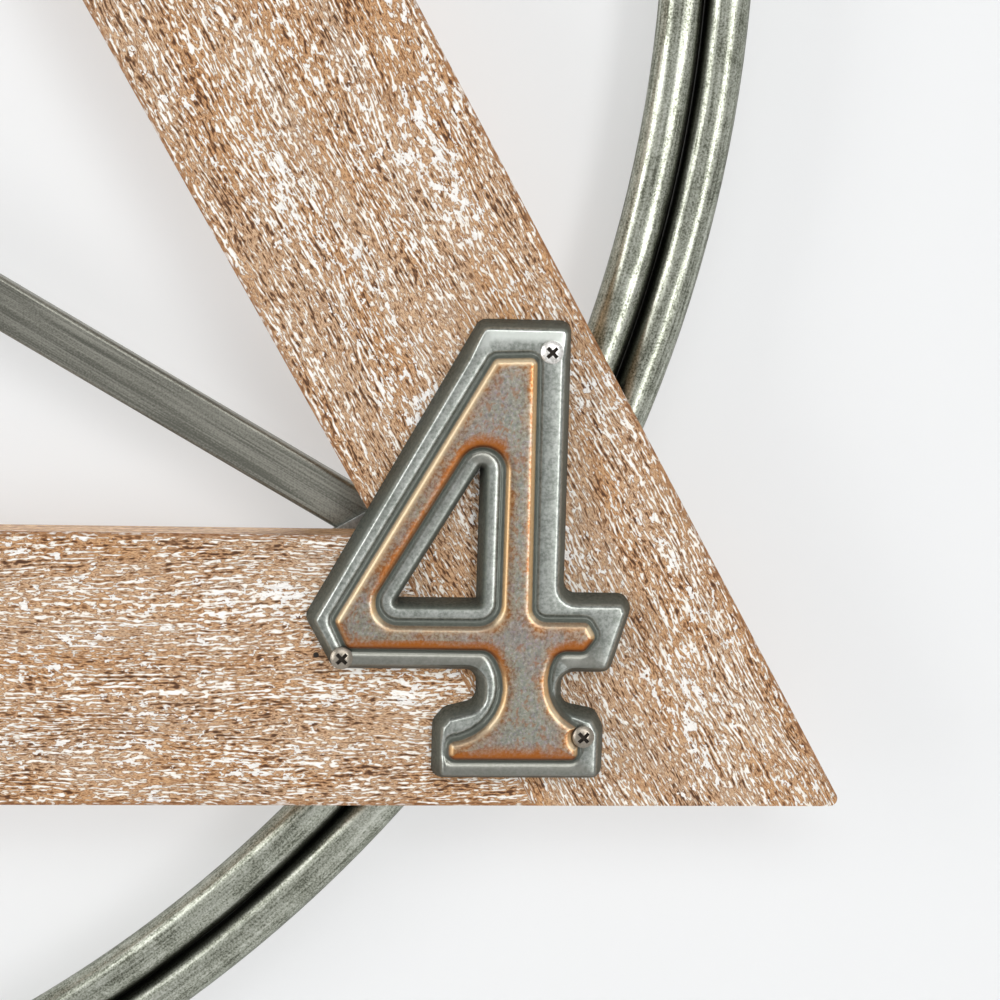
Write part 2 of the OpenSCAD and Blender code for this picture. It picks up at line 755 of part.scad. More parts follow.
// Flat spade hand that points up: blade half-widths, spade half-width and tail
module hand_shape(len, root_half_w, neck_half_w, spade_half_w, boss_r) {
    spade = len * 0.2;
    base = len - spade;
    polygon([[-root_half_w, 0], [-neck_half_w, base + spade / 2], [neck_half_w, base + spade / 2], [root_half_w, 0]]);
    polygon(concat(
        [[0, len], [-spade_half_w * 0.45, base + spade * 0.62]],
        arc([-spade_half_w * 0.5, base + spade * 0.3], spade_half_w * 0.5, 140, 290, 8),
        arc([spade_half_w * 0.5, base + spade * 0.3], spade_half_w * 0.5, 250, 400, 8),
        [[spade_half_w * 0.45, base + spade * 0.62]]));
    polygon([[-root_half_w, 0], [-root_half_w * 1.8, -tail_len], [root_half_w * 1.8, -tail_len], [root_half_w, 0]]);
    circle(r = boss_r);
}

hour_angle = rest_hour * 30 + rest_minute / 2;
minute_angle = rest_minute * 6;
hand_boss_r = 9;
hand_collar_r = 4.5;

module hour_hand() color("black") at_dial() rotate([0, hour_angle, 0]) difference() {
    union() {
        sheet(hour_hand_back, hand_t) hand_shape(hour_len, 4.2, 2.6, 13, hand_boss_r);
        rod(hour_hand_back + collar_t, collar_t + eps, hand_collar_r);
    }
    rod(hour_hand_back + collar_t + 1, collar_t + hand_t + 2, hour_tube_r);
}

module minute_hand() color("black") at_dial() rotate([0, minute_angle, 0]) difference() {
    union() {
        sheet(minute_hand_back, hand_t) hand_shape(minute_len, 3.4, 1.9, 10.5, hand_boss_r - 1.5);
        rod(minute_hand_back + minute_collar_t, minute_collar_t + eps, hand_collar_r - 0.5);
    }
    rod(minute_hand_back + minute_collar_t + 1, minute_collar_t + hand_t + 2, minute_seat_r);
}

hand_nut_t = 1.6;
hand_nut_r = 3;
module hand_nut() color("black") at_dial() difference() {
    turned(minute_hand_back - hand_t) intersection() {
        square([hand_nut_r, hand_nut_t]);
        translate([0, hand_nut_t - nut_dome]) circle(r = nut_dome);
    }
    rod(minute_hand_back - hand_t + eps, 1 + eps, minute_seat_r);
}
// Radius of the dome on the hand nut, which leaves half its height at the edge
nut_dome = (hand_nut_r * hand_nut_r + hand_nut_t * hand_nut_t / 4) / hand_nut_t;

// ---- Movement ----

battery_y = floor_in + battery_r + 0.1;

module movement_case() color("dimgray") at_dial() difference() {
    union() {
        sheet(case_back, case_t) translate([-half, case_low]) square([case_w, case_high - case_low]);
        rod(case_front + eps, case_front - bush_front + eps, bush_r);
    }
    translate([-half + case_wall, floor_in, bay_rim])
        cube([case_w - 2 * case_wall, case_t, case_high - case_wall - bay_rim]);
    translate([-half + case_wall, floor_in, case_low + case_wall])
        cube([case_w - 2 * case_wall, case_t, bay_top - case_low - case_wall]);
    rod(floor_in + 1, floor_in - bush_front + 2, hour_tube_r + run_gap);
    for (p = [works_at, knob_at, third_at, second_at, inter_at, rotor_at])
        at(p) rod(floor_in + eps, pivot_len + shake + eps, pivot_r + run_gap);
}

knob_stem_r = 0.9;
snap_w = 6;
snap_x = half - case_wall - 1.2;
module movement_cover() color("gray") at_dial() difference() {
    union() {
        translate([-half, case_back, bay_top]) cube([case_w, floor_t, case_high - bay_top]);
        for (s = [-1, 1]) translate([s * snap_x - 1, case_back - 3, case_high - case_wall - snap_w - 1])
            cube([2, 3 + eps, snap_w]);
    }
    for (p = [[0, 0], works_at, third_at, second_at, inter_at, rotor_at])
        at(p) rod(case_back + pivot_len + shake, pivot_len + shake + eps, pivot_r + run_gap);
    at(knob_at) rod(cover_back + eps, floor_t + 2 * eps, knob_stem_r + run_gap);
}

knob_notches = 24;
knob_gap = 0.1;
module set_knob() color("gray") at_dial() at(knob_at) {
    sheet(cover_back + knob_gap + knob_t, knob_t) gear_shape(knob_notches, 2 * knob_r / knob_notches * 0.93, 0);
    rod(cover_back + knob_gap + eps, cover_back + knob_gap - floor_in - shake, knob_stem_r);
    toothed(knob_n, works_m, knob_phase, works_back, pinion_extra);
    rod(floor_in + shake + eps, pivot_len + shake, pivot_r);
}

module bush_gasket() color("black") at_dial() difference() {
    rod(case_front, gasket_t, 14);
    rod(case_front + 1, gasket_t + 2, bush_r);
}

hub_front = plate_back - hub_t;
module bush_washer() color("gold") at_dial() difference() {
    rod(hub_front, washer_t, 7);
    rod(hub_front + 1, washer_t + 2, bush_r);
}

nut_r = 6.9;
module bush_nut() color("gold") at_dial() difference() {
    translate([0, hub_front - washer_t, 0]) rotate([90, 0, 0]) cylinder(h = nut_t, r = nut_r, $fn = 6);
    rod(hub_front - washer_t + 1, nut_t + 2, bush_r);
}

// Stator lamination with the coil's core, and the coil that is wound on it
coil_r = 3.4;
coil_gap = 1;
coil_x = -half + case_wall + coil_gap + coil_r;
coil_low = -7;
coil_high = 16;
stator_t = 0.8;
stator_back = magnet_back - 0.7;
stator_gap = 0.35;
core_half = 1;
module stator() color("silver") at_dial() difference() {
    sheet(stator_back, stator_t) {
        translate(rotor_at) circle(r = magnet_r + stator_gap + 1.4);
        translate([coil_x - core_half, rotor_at[1] - 2]) square([rotor_at[0] - coil_x - magnet_r, 4]);
        translate([coil_x - core_half, coil_low - 1]) square([2 * core_half, rotor_at[1] - coil_low]);
    }
    at(rotor_at) rod(stator_back + 1, stator_t + 2, magnet_r + stator_gap);
}

module coil() color("chocolate") at_dial() difference() {
    translate([coil_x, stator_back - stator_t / 2, coil_low]) cylinder(h = coil_high - coil_low, r = coil_r);
    translate([coil_x - core_half, stator_back - stator_t, coil_low - 1])
        cube([2 * core_half, stator_t, coil_high - coil_low + 2]);
}

board_h = 22;
board_t = 0.8;
board_gap = 2.6;
board_x = third_at[0] + 4.084;
board_w = half - case_wall - board_gap - board_x;
board_z = bay_rim + 0.3;
board_back = case_back;
module circuit_board() color("darkgreen") at_dial() {
    translate([board_x, board_back - board_t, board_z]) cube([board_w, board_t, board_h]);
    translate([board_x + board_w - 5, board_back - board_t - 0.7, board_z + 12]) cube([4, 0.7 + eps, 4]);
}

crystal_r = 1;
module quartz_crystal() color("silver") at_dial()
    translate([board_x + board_w - 3, board_back - board_t - crystal_r, board_z + 2])
        cylinder(h = 6, r = crystal_r);

// ---- Battery and its contacts ----

button_r = 2.7;
button_len = 1.1;
contact_t = 0.4;
contact_w = 9;
bay_half = half - case_wall;
module contact(side, bump) color("silver") at_dial() {
    translate([side * bay_half - (side > 0 ? contact_t : 0), battery_y - contact_w / 2, battery_z - contact_w / 2])
        cube([contact_t, contact_w, contact_w]);
    translate([side * (bay_half - contact_t), battery_y, battery_z]) rotate([0, -side * 90, 0])
        translate([0, 0, -eps]) cylinder(h = bump + eps, r = 2.2);
}
end_gap = 0.1;
battery_half = bay_half - contact_t - contact_bump - end_gap;
battery_len = 2 * battery_half - button_len;
module contact_positive() contact(1, contact_bump);
module contact_negative() contact(-1, contact_bump);

module battery() color("silver") at_dial() translate([-battery_half, battery_y, battery_z]) rotate([0, 90, 0]) {
    cylinder(h = battery_len, r = battery_r);
    translate([0, 0, battery_len - eps]) cylinder(h = button_len + eps, r = button_r);
}

plank_bottom();
plank_right();
plank_left();
ring_outer_tube();
ring_inner_tube();
spoke_12();
spoke_4();
spoke_8();
hub_disc();
corner_plate_12();
corner_plate_4();
corner_plate_8();
corner_plate_screws();
ring_straps();
ring_strap_screws();
numeral_1();
numeral_2();
numeral_4();
numeral_8();
numeral_screws();
wall_bumpers();
bumper_screws();
hanger_plate();
movement_case();
movement_cover();
bush_gasket();
bush_washer();
bush_nut();
hour_wheel();
hour_hand();
minute_arbor();
minute_hand();
hand_nut();
works_wheel();
set_knob();
centre_wheel();
third_wheel();
second_wheel();
intermediate_wheel();
rotor();
stator();
coil();
circuit_board();
quartz_crystal();
contact_positive();
contact_negative();
battery();
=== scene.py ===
"""Wall clock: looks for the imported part, in metres, in the row's frame (front faces -Y)."""

import json
import math

import bpy
import numpy as np
from mathutils import Matrix, Vector
from mathutils.geometry import delaunay_2d_cdt


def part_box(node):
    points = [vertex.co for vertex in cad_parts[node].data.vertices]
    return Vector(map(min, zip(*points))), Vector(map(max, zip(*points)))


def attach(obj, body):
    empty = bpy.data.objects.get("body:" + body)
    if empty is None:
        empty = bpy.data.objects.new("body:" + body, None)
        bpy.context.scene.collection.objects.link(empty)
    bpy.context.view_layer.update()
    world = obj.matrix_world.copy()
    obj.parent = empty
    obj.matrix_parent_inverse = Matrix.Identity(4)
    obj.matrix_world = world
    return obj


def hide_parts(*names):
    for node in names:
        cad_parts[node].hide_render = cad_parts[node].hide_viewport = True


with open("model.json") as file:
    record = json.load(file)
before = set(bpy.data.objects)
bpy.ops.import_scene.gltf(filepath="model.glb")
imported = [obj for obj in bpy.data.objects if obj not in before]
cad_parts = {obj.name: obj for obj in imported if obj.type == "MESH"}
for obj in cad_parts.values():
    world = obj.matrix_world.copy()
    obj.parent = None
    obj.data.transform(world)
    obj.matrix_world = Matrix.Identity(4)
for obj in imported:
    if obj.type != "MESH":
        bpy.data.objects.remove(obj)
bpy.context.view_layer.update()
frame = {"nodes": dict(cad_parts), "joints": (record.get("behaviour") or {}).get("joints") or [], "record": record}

MM = 0.001
nodes = frame["nodes"]
slot_of = {s["node"]: s["material_slot"] for s in frame["record"]["subparts"]}
dial_z = next(j["pos_m"][2] for j in frame["joints"] if j["name"] == "minute_spin")
dial_mm = dial_z / MM
wood_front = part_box("plank_right")[0].y
front_mm = wood_front / MM

# The direction of each plank's grain and of each spoke in the dial's plane, in degrees
PLANKS = {"plank_bottom": 0, "plank_right": 120, "plank_left": 240}
SPOKES = {"spoke_12": 90, "spoke_4": -30, "spoke_8": 210}
TUBES = ("ring_outer_tube", "ring_inner_tube")
NUMERALS = ("numeral_1", "numeral_2", "numeral_4", "numeral_8")

# The bottom plank's long edges, in millimetres below the dial's centre
plank_inner = dial_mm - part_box("plank_bottom")[1].z / MM
plank_outer = dial_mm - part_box("plank_bottom")[0].z / MM
# The radius of the ring's middle line, and the one where its inner tube meets the outer, in mm
ring_mm = (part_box("ring_outer_tube")[1].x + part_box("ring_inner_tube")[1].x) / 2 / MM
gap_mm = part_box("ring_inner_tube")[1].x / MM


# ---------------------------------------------------------------- shader building


def srgb(r, g, b):
    """Linear colour of an 8-bit screen colour."""
    shares = (v / 255 for v in (r, g, b))
    return tuple(v / 12.92 if v <= 0.04045 else ((v + 0.055) / 1.055) ** 2.4 for v in shares)


class Shader:
    """One material. Methods take sockets or plain values and return sockets."""

    def __init__(self, name):
        self.material = bpy.data.materials.new(name)
        self.material.use_nodes = True
        self.tree = self.material.node_tree
        self.bsdf = self.tree.nodes["Principled BSDF"]
        self.mm = self.vector("SCALE", self.new("TexCoord").outputs["Object"], scale=1 / MM)

    def new(self, kind):
        return self.tree.nodes.new("ShaderNode" + kind)

    def plug(self, socket, value):
        """Links a socket or sets a plain value; a colour's fourth number is added."""
        if isinstance(value, bpy.types.NodeSocket):
            self.tree.links.new(value, socket)
        elif socket.type == "RGBA":
            socket.default_value = (*value, 1.0)
        else:
            socket.default_value = value

    def vector(self, operation, a, b=None, scale=None):
        node = self.new("VectorMath")
        node.operation = operation
        self.plug(node.inputs[0], a)
        if b is not None:
            self.plug(node.inputs[1], b)
        if scale is not None:
            self.plug(node.inputs["Scale"], scale)
        return node.outputs["Value" if operation == "LENGTH" else "Vector"]

    def math(self, operation, a, b, c=None, clamp=False):
        node = self.new("Math")
        node.operation = operation
        node.use_clamp = clamp
        self.plug(node.inputs[0], a)
        self.plug(node.inputs[1], b)
        if c is not None:
            self.plug(node.inputs[2], c)
        return node.outputs[0]

    def product(self, result, *factors):
        for factor in factors:
            result = self.math("MULTIPLY", result, factor)
        return result

    def rest(self, share):
        """What a share leaves of 1."""
        return self.math("SUBTRACT", 1.0, share)

    def about(self, noise, share, middle):
        """The noise's distance from its own middle, 0.5, times share, added to middle."""
        return self.math("MULTIPLY_ADD", self.math("SUBTRACT", noise, 0.5), share, middle)

    def total(self, *terms):
        """Sum of (share, noise) pairs, each noise counted from its middle at 0.5, about 0.5."""
        result = 0.5
        for share, noise in terms:
            result = self.about(noise, share, result)
        return result

    def from_dial(self):
        """The place in millimetres from the dial's centre."""
        return self.vector("SUBTRACT", self.mm, (0, 0, dial_mm))

    def turned(self, vector, angle):
        """The vector turned about Y, so that X runs at angle, in degrees, in the dial's plane."""
        node = self.new("VectorRotate")
        node.rotation_type = "Y_AXIS"
        self.plug(node.inputs["Vector"], vector)
        node.inputs["Angle"].default_value = math.radians(angle)
        return node.outputs["Vector"]

    def split(self, vector):
        node = self.new("SeparateXYZ")
        self.plug(node.inputs[0], vector)
        return tuple(node.outputs)

    def join(self, *values):
        node = self.new("CombineXYZ")
        for socket, value in zip(node.inputs, values):
            self.plug(socket, value)
        return node.outputs[0]

    def noise(self, vector, size, detail=2.0, rough=0.5, distort=0.0, shift=(0, 0, 0)):
        """Fractal noise whose features are size millimetres across, on all axes or on each."""
        if not isinstance(size, tuple):
            size = (size,) * 3
        node = self.new("TexNoise")
        moved = self.vector("ADD", vector, shift)
        self.plug(node.inputs["Vector"], self.vector("DIVIDE", moved, size))
        settings = {"Scale": 1.0, "Detail": detail, "Roughness": rough, "Distortion": distort}
        for name, value in settings.items():
            node.inputs[name].default_value = value
        return node.outputs[0]

    def span(self, value, low, high, out_low=0.0, out_high=1.0, kind="LINEAR"):
        """Straight remap from out_low at low to out_high at high, and even beyond both."""
        node = self.new("MapRange")
        node.interpolation_type = kind
        self.plug(node.inputs["Value"], value)
        self.plug(node.inputs["From Min"], low)
        self.plug(node.inputs["From Max"], high)
        self.plug(node.inputs["To Min"], out_low)
        self.plug(node.inputs["To Max"], out_high)
        return node.outputs["Result"]

    def step(self, value, low, high, out_low=0.0, out_high=1.0):
        """Smooth step from out_low at low to out_high at high."""
        return self.span(value, low, high, out_low, out_high, "SMOOTHSTEP")

    def ramp(self, value, stops):
        """Colour from a table of (value, 8-bit screen colour)."""
        node = self.new("ValToRGB")
        self.plug(node.inputs[0], value)
        elements = node.color_ramp.elements
        while len(elements) < len(stops):
            elements.new(0.5)
        for element, (place, colour) in zip(elements, stops):
            element.position = place
            element.color = (*srgb(*colour), 1.0)
        return node.outputs[0]

    def mix(self, factor, a, b):
        """The colour from a at factor 0 to b at factor 1."""
        node = self.new("Mix")
        node.data_type = "RGBA"
        for index, value in ((0, factor), (6, a), (7, b)):
            self.plug(node.inputs[index], value)
        return node.outputs[2]

    def coat(self, colour, over, *shares):
        """The colour with another one laid over it by the product of the shares."""
        return self.mix(self.product(*shares), colour, over)

    def blend(self, factor, a, b):
        """The surface from a at factor 0 to b at factor 1."""
        node = self.new("MixShader")
        for socket, value in zip(node.inputs, (factor, a, b)):
            self.plug(socket, value)
        return node.outputs[0]

    def attribute(self, name):
        node = self.new("Attribute")
        node.attribute_name = name
        return node.outputs["Fac"]

    def bump(self, height, distance_mm, strength):
        node = self.new("Bump")
        node.inputs["Strength"].default_value = strength
        node.inputs["Distance"].default_value = distance_mm * MM
        self.plug(node.inputs["Height"], height)
        return node.outputs["Normal"]

    def finish(self, **inputs):
        for name, value in inputs.items():
            self.plug(self.bsdf.inputs[name.replace("_", " ")], value)
        return self.material


# ---------------------------------------------------------------- materials

# Colours of the limed wood by the level of its fine lines: bare wood, a brown outline of painted shade beside the
# white, the white
WOOD_RAMP = (
    (0.325, (80, 52, 32)), (0.388, (128, 92, 62)),
    (0.430, (180, 142, 108)), (0.480, (213, 182, 149)),
    (0.519, (130, 91, 62)), (0.543, (194, 165, 136)),
    (0.575, (237, 227, 214)), (0.680, (249, 246, 241)),
)
LIME_WHITE = srgb(247, 244, 240)
# Factors on the colour where the bare wood is browner, and where it is greyer
WARM_TINT = (0.93, 0.76, 0.54)
GREY_TINT = (0.85, 0.93, 1.08)
# How far the grain wanders across a plank in long waves and in short ones, in millimetres
WANDER_MM = 9.0
RIPPLE_MM = 1.3
# The planks are cut out of one pattern at places this far apart, in millimetres
PLANK_SLIDE = 211.0
# A nail's head in the bottom plank, in mm: across and down from the dial's centre, and its rim
NAIL = (245.6, -181.7)
NAIL_RIM = (0.85, 0.6)

# The angle behind the plank at 8 where the ring's pattern starts and ends, in degrees
RING_SEAM = 30
RING_RAMP = (
    (0.36, (96, 98, 86)), (0.45, (142, 145, 132)),
    (0.55, (176, 179, 166)), (0.66, (206, 208, 198)),
)
ZINC_RAMP = ((0.38, (134, 139, 132)), (0.5, (158, 162, 156)), (0.62, (178, 181, 176)))
ZINC_TINT = (0.7, 0.7, 0.7)
RING_TINT = (0.55, 0.55, 0.55)

# The share by which a plain material's tone varies
PLAIN_VARY = 0.08
# The battery's bare ends and the band on its sleeve, in millimetres from the ends
BARE_LOW = (1.1, 0.9)
BARE_HIGH = (2.4, 2.2)
BAND = (15.2, 14.8)


def wandering_grain(s, local):
    """The place in the plank, moved so that what follows it wanders across the plank."""
    wander = s.noise(local, (75, 26, 26), shift=(17, 0, 9))
    ripple = s.noise(local, (9, 5, 5), shift=(3, 41, 0))
    drift = s.math("ADD", s.product(wander, WANDER_MM), s.product(ripple, RIPPLE_MM))
    return s.vector("ADD", local, s.join(0.0, 0.0, drift))


def tinted(s, colour, bare, broad, zone):
    """The wood's colour, browner in places and greyer in others where it is bare."""
    warmer = s.vector("MULTIPLY", colour, WARM_TINT)
    colour = s.coat(colour, warmer, bare, s.step(broad, 0.42, 0.62, 0.0, 0.75))
    greyer = s.vector("MULTIPLY", colour, GREY_TINT)
    return s.coat(colour, greyer, bare, s.step(zone, 0.52, 0.72, 0.0, 0.7))


def edge_wear(s, depth, across, dashes, broad):
    """Where the wash is worn off along the long edges, and how much thinner it is beside them."""
    outer_edge = s.math("ADD", across, plank_outer)
    inner_edge = s.math("SUBTRACT", -plank_inner, across)
    edge = s.about(dashes, 3.0, s.math("MINIMUM", outer_edge, inner_edge))
    at_front = s.step(depth, front_mm + 0.9, front_mm + 0.1)
    worn = s.product(s.step(edge, 1.5, 0.2), at_front)
    return worn, s.step(s.about(broad, 24.0, edge), 11.0, 1.0, 0.0, 0.035)


def wood_material(name, angle, slide):
    """Limed wood of a plank whose grain runs at angle in the dial's plane."""
    s = Shader(name)
    local = s.vector("ADD", s.turned(s.from_dial(), angle), (slide, 0, 0))
    _, depth, across = s.split(local)
    grain = wandering_grain(s, local)
    # pale lines along the grain, some long and some broken, on bare wood
    dashes = s.noise(grain, (1.9, 0.54, 0.54), 0.9, 0.5, 0.15, (5, 11, 17))
    threads = s.noise(grain, (12, 0.6, 0.6), 0.9, shift=(0, 3, 0))
    grit = s.noise(local, (0.7, 0.5, 0.5), 1, shift=(13, 13, 13))
    thick = s.noise(local, (40, 14, 14), 3, 0.6, 0.5, (71, 3, 29))
    lined = s.noise(local, (36, 12, 12), 2, 0.5, 0.4, (9, 87, 31))
    lined = s.step(lined, 0.40, 0.56, 0.78, 1.05)
    bands = s.noise(grain, (90, 7, 7), 3, 0.55, shift=(31, 0, 77))
    level = s.total((0.66, dashes), (0.6, threads), (0.12, grit), (0.1, thick), (0.2, bands))
    level = s.about(level, lined, 0.5)
    broad = s.noise(grain, (60, 12, 12), 3, 0.55)
    zone = s.noise(local, (30, 13, 13), 3, 0.6, 0.3, (50, 21, 0))
    colour = tinted(s, s.ramp(level, WOOD_RAMP), s.step(level, 0.56, 0.52), broad, zone)
    worn, rubbed = edge_wear(s, depth, across, dashes, broad)
    # thicker white in ragged flakes, mostly where there are few lines, each with a brown rim of painted shade
    stroke = s.noise(grain, (3.6, 1.7, 1.7), 2, 0.55, 0.4, (5, 1, 7))
    cover = s.total((1.0, stroke), (0.6, thick), (0.3, grit), (0.2, dashes))
    cover = s.math("MULTIPLY_ADD", lined, -0.05, cover)
    cover = s.math("SUBTRACT", cover, rubbed)
    white = s.product(s.step(cover, 0.58, 0.605), s.rest(worn))
    flake_rim_shade = s.product(s.step(cover, 0.545, 0.58), s.rest(white))
    colour = s.coat(colour, srgb(112, 76, 50), flake_rim_shade, 0.25)
    colour = s.coat(colour, LIME_WHITE, white, 0.92)
    colour = s.coat(colour, srgb(140, 96, 60), worn, 0.6)
    # the sides and the back are hardly washed
    on_front = s.step(depth, front_mm + 1.4, front_mm + 0.5)
    sides = s.mix(s.step(level, 0.42, 0.56), srgb(150, 112, 78), srgb(206, 168, 128))
    colour = s.coat(colour, s.mix(0.85, colour, sides), s.rest(on_front))
    if name.startswith("plank_bottom"):
        away = s.vector("SUBTRACT", s.mm, (NAIL[0], front_mm, NAIL[1] + dial_mm))
        colour = s.coat(colour, srgb(34, 30, 26), s.step(s.vector("LENGTH", away), *NAIL_RIM))
    height = s.math("ADD", s.product(white, 0.4), s.step(level, 0.5, 0.6))
    return s.finish(
        Base_Color=colour,
        Roughness=s.span(level, 0.4, 0.6, 0.6, 0.8),
        Specular_IOR_Level=0.3,
        Normal=s.bump(height, 0.22, 0.9),
    )


def galvanized(name, dark, light, size, smoothest):
    """Mottled zinc-grey metal with patches size millimetres across."""
    s = Shader(name)
    patch = s.noise(s.mm, size, 3, 0.55, 0.4)
    grain = s.noise(s.mm, 0.9, 3, 0.65)
    mixed = s.total((0.4, patch), (0.6, grain))
    return s.finish(
        Base_Color=s.mix(s.step(mixed, 0.38, 0.62), dark, light),
        Metallic=1.0,
        Specular_Tint=ZINC_TINT,
        Roughness=s.span(mixed, 0.35, 0.65, 0.5, smoothest),
        Normal=s.bump(mixed, 0.02, 0.6),
    )


def ring_material(name):
    """Speckled pewter-grey tube with fine lines along it."""
    s = Shader(name)
    x, y, z = s.split(s.from_dial())
    turned_x, _, turned_z = s.split(s.turned(s.from_dial(), RING_SEAM))
    around = s.product(s.math("ARCTAN2", turned_z, turned_x), ring_mm)
    from_dial = s.math("SQRT", s.math("ADD", s.product(x, x), s.product(z, z)), 0.0)
    along = s.join(around, from_dial, y)
    lines = s.noise(along, (26, 0.75, 0.75), 2, 0.6)
    waves = s.noise(along, (55, 9, 9))
    specks = s.noise(s.mm, 0.5, 2, 0.6)
    patch = s.noise(s.mm, 6, 3, 0.55, 0.4)
    tone = s.total((0.45, lines), (0.6, specks), (0.3, patch))
    colour = s.ramp(tone, RING_RAMP)
    # painted shade in the crevice where the two tubes meet
    from_gap = s.math("ABSOLUTE", s.math("SUBTRACT", from_dial, gap_mm), 0.0)
    colour = s.coat(colour, srgb(46, 46, 40), s.step(from_gap, 3.2, 0.8, 0.0, 0.8))
    height = s.math("ADD", s.product(waves, 8.0), s.product(lines, 0.22))
    return s.finish(
        Base_Color=colour,
        Metallic=1.0,
        Specular_Tint=RING_TINT,
        Roughness=s.span(tone, 0.4, 0.6, 0.35, 0.31),
        Normal=s.bump(height, 0.1, 1.0),
    )


def brushed_bar(name, angle):
    """Dark bar steel with fine lines along a spoke that points at angle."""
    s = Shader(name)
    local = s.turned(s.from_dial(), angle)
    lines = s.noise(local, (45, 0.4, 0.4), 3, 0.65)
    broad = s.noise(local, (40, 3.2, 3.2), 2, 0.6)
    specks = s.noise(s.mm, 0.5, 2, 0.6)
    tone = s.total((0.5, lines), (0.3, broad), (0.35, specks))
    return s.finish(
        Base_Color=s.mix(s.step(tone, 0.38, 0.62), srgb(100, 100, 92), srgb(144, 143, 134)),
        Metallic=0.9,
        Specular_Tint=ZINC_TINT,
        Roughness=s.span(lines, 0.3, 0.7, 0.34, 0.5),
        Normal=s.bump(lines, 0.03, 0.7),
    )


def numeral_sheet(s, fine, in_rim, above, height_share):
    """Zinc with painted shade on the skirt and under the raised middle, and a painted highlight along the topmost
    rim.
    """
    blotch = s.noise(s.mm, 4.0, 3, 0.6, 0.4)
    colour = s.ramp(s.total((0.4, blotch), (0.6, fine)), ZINC_RAMP)
    skirt = s.step(in_rim, 2.3, 1.6)
    # painted shade: the skirt is darkest where it meets the wood and lighter towards its shoulder
    skirt_shade_tone = s.mix(s.step(in_rim, 0.0, 2.0), srgb(56, 60, 54), srgb(92, 97, 90))
    skirt_shade_tone = s.coat(skirt_shade_tone, srgb(112, 114, 104), s.step(fine, 0.3, 0.7, 0.0, 0.5))
    colour = s.coat(colour, skirt_shade_tone, skirt)
    # painted shade on the rims and the skirt below the raised middle's lower edges, which face down
    underside_shade_tone = s.mix(skirt, srgb(126, 125, 117), srgb(72, 72, 64))
    colour = s.coat(colour, underside_shade_tone, s.step(above, 0.4, 0.85), 0.75)
    # painted highlight: a bright band along the rim near the top
    band = s.product(s.step(height_share, 0.93, 0.96), s.step(in_rim, 2.2, 3.6))
    colour = s.coat(colour, srgb(216, 221, 215), band, s.step(in_rim, 6.6, 4.4), 0.85)
    return colour, skirt


def numeral_middle(s, fine, top):
    """The raised middle's mottled greenish and mauve grey."""
    tint = s.noise(s.mm, 12, 2, 0.5, 0.3, (23, 5, 41))
    hue = s.noise(s.mm, 0.8, 1, shift=(61, 5, 4))
    flecks = s.noise(s.mm, (1.5, 1.5, 2.2), 2, 0.65, 0.5, (7, 77, 1))
    brown = s.step(flecks, 0.53, 0.68, 0.0, s.span(top, 0, 1, 0.6, 0.3))
    colour = s.mix(s.step(tint, 0.4, 0.6), srgb(152, 153, 139), srgb(153, 144, 135))
    colour = s.coat(colour, srgb(160, 146, 164), s.step(hue, 0.5, 0.66, 0.0, 0.4))
    colour = s.coat(colour, srgb(118, 108, 98), s.step(fine, 0.48, 0.32, 0.0, 0.6))
    colour = s.coat(colour, srgb(190, 184, 174), s.step(fine, 0.54, 0.68, 0.0, 0.5))
    colour = s.coat(colour, srgb(158, 108, 74), brown)
    return s.coat(colour, srgb(120, 128, 122), s.step(flecks, 0.45, 0.32, 0.0, 0.5))


def numeral_crest_highlight(s, inside, above, top):
    """A pale crest, partly worn metal and partly a painted highlight, off the lower edges, and greyer at the upper
    ones that lie below the top.
    """
    width = s.step(above, 0.0, -0.5, 1.4, 2.1)
    worn_crest_and_highlight = s.product(s.step(inside, -0.3, 0.25), s.step(inside, width, 0.5))
    grey = s.product(s.step(above, -0.6, -0.9), s.rest(top))
    share = s.product(s.step(above, 0.7, -0.2, 0.0, 0.8), s.span(grey, 0, 1, 1.0, 0.8))
    tone = s.mix(s.step(above, -0.15, -0.6), srgb(216, 182, 134), srgb(222, 205, 172))
    return s.product(worn_crest_and_highlight, share), s.coat(tone, srgb(152, 146, 128), grey)


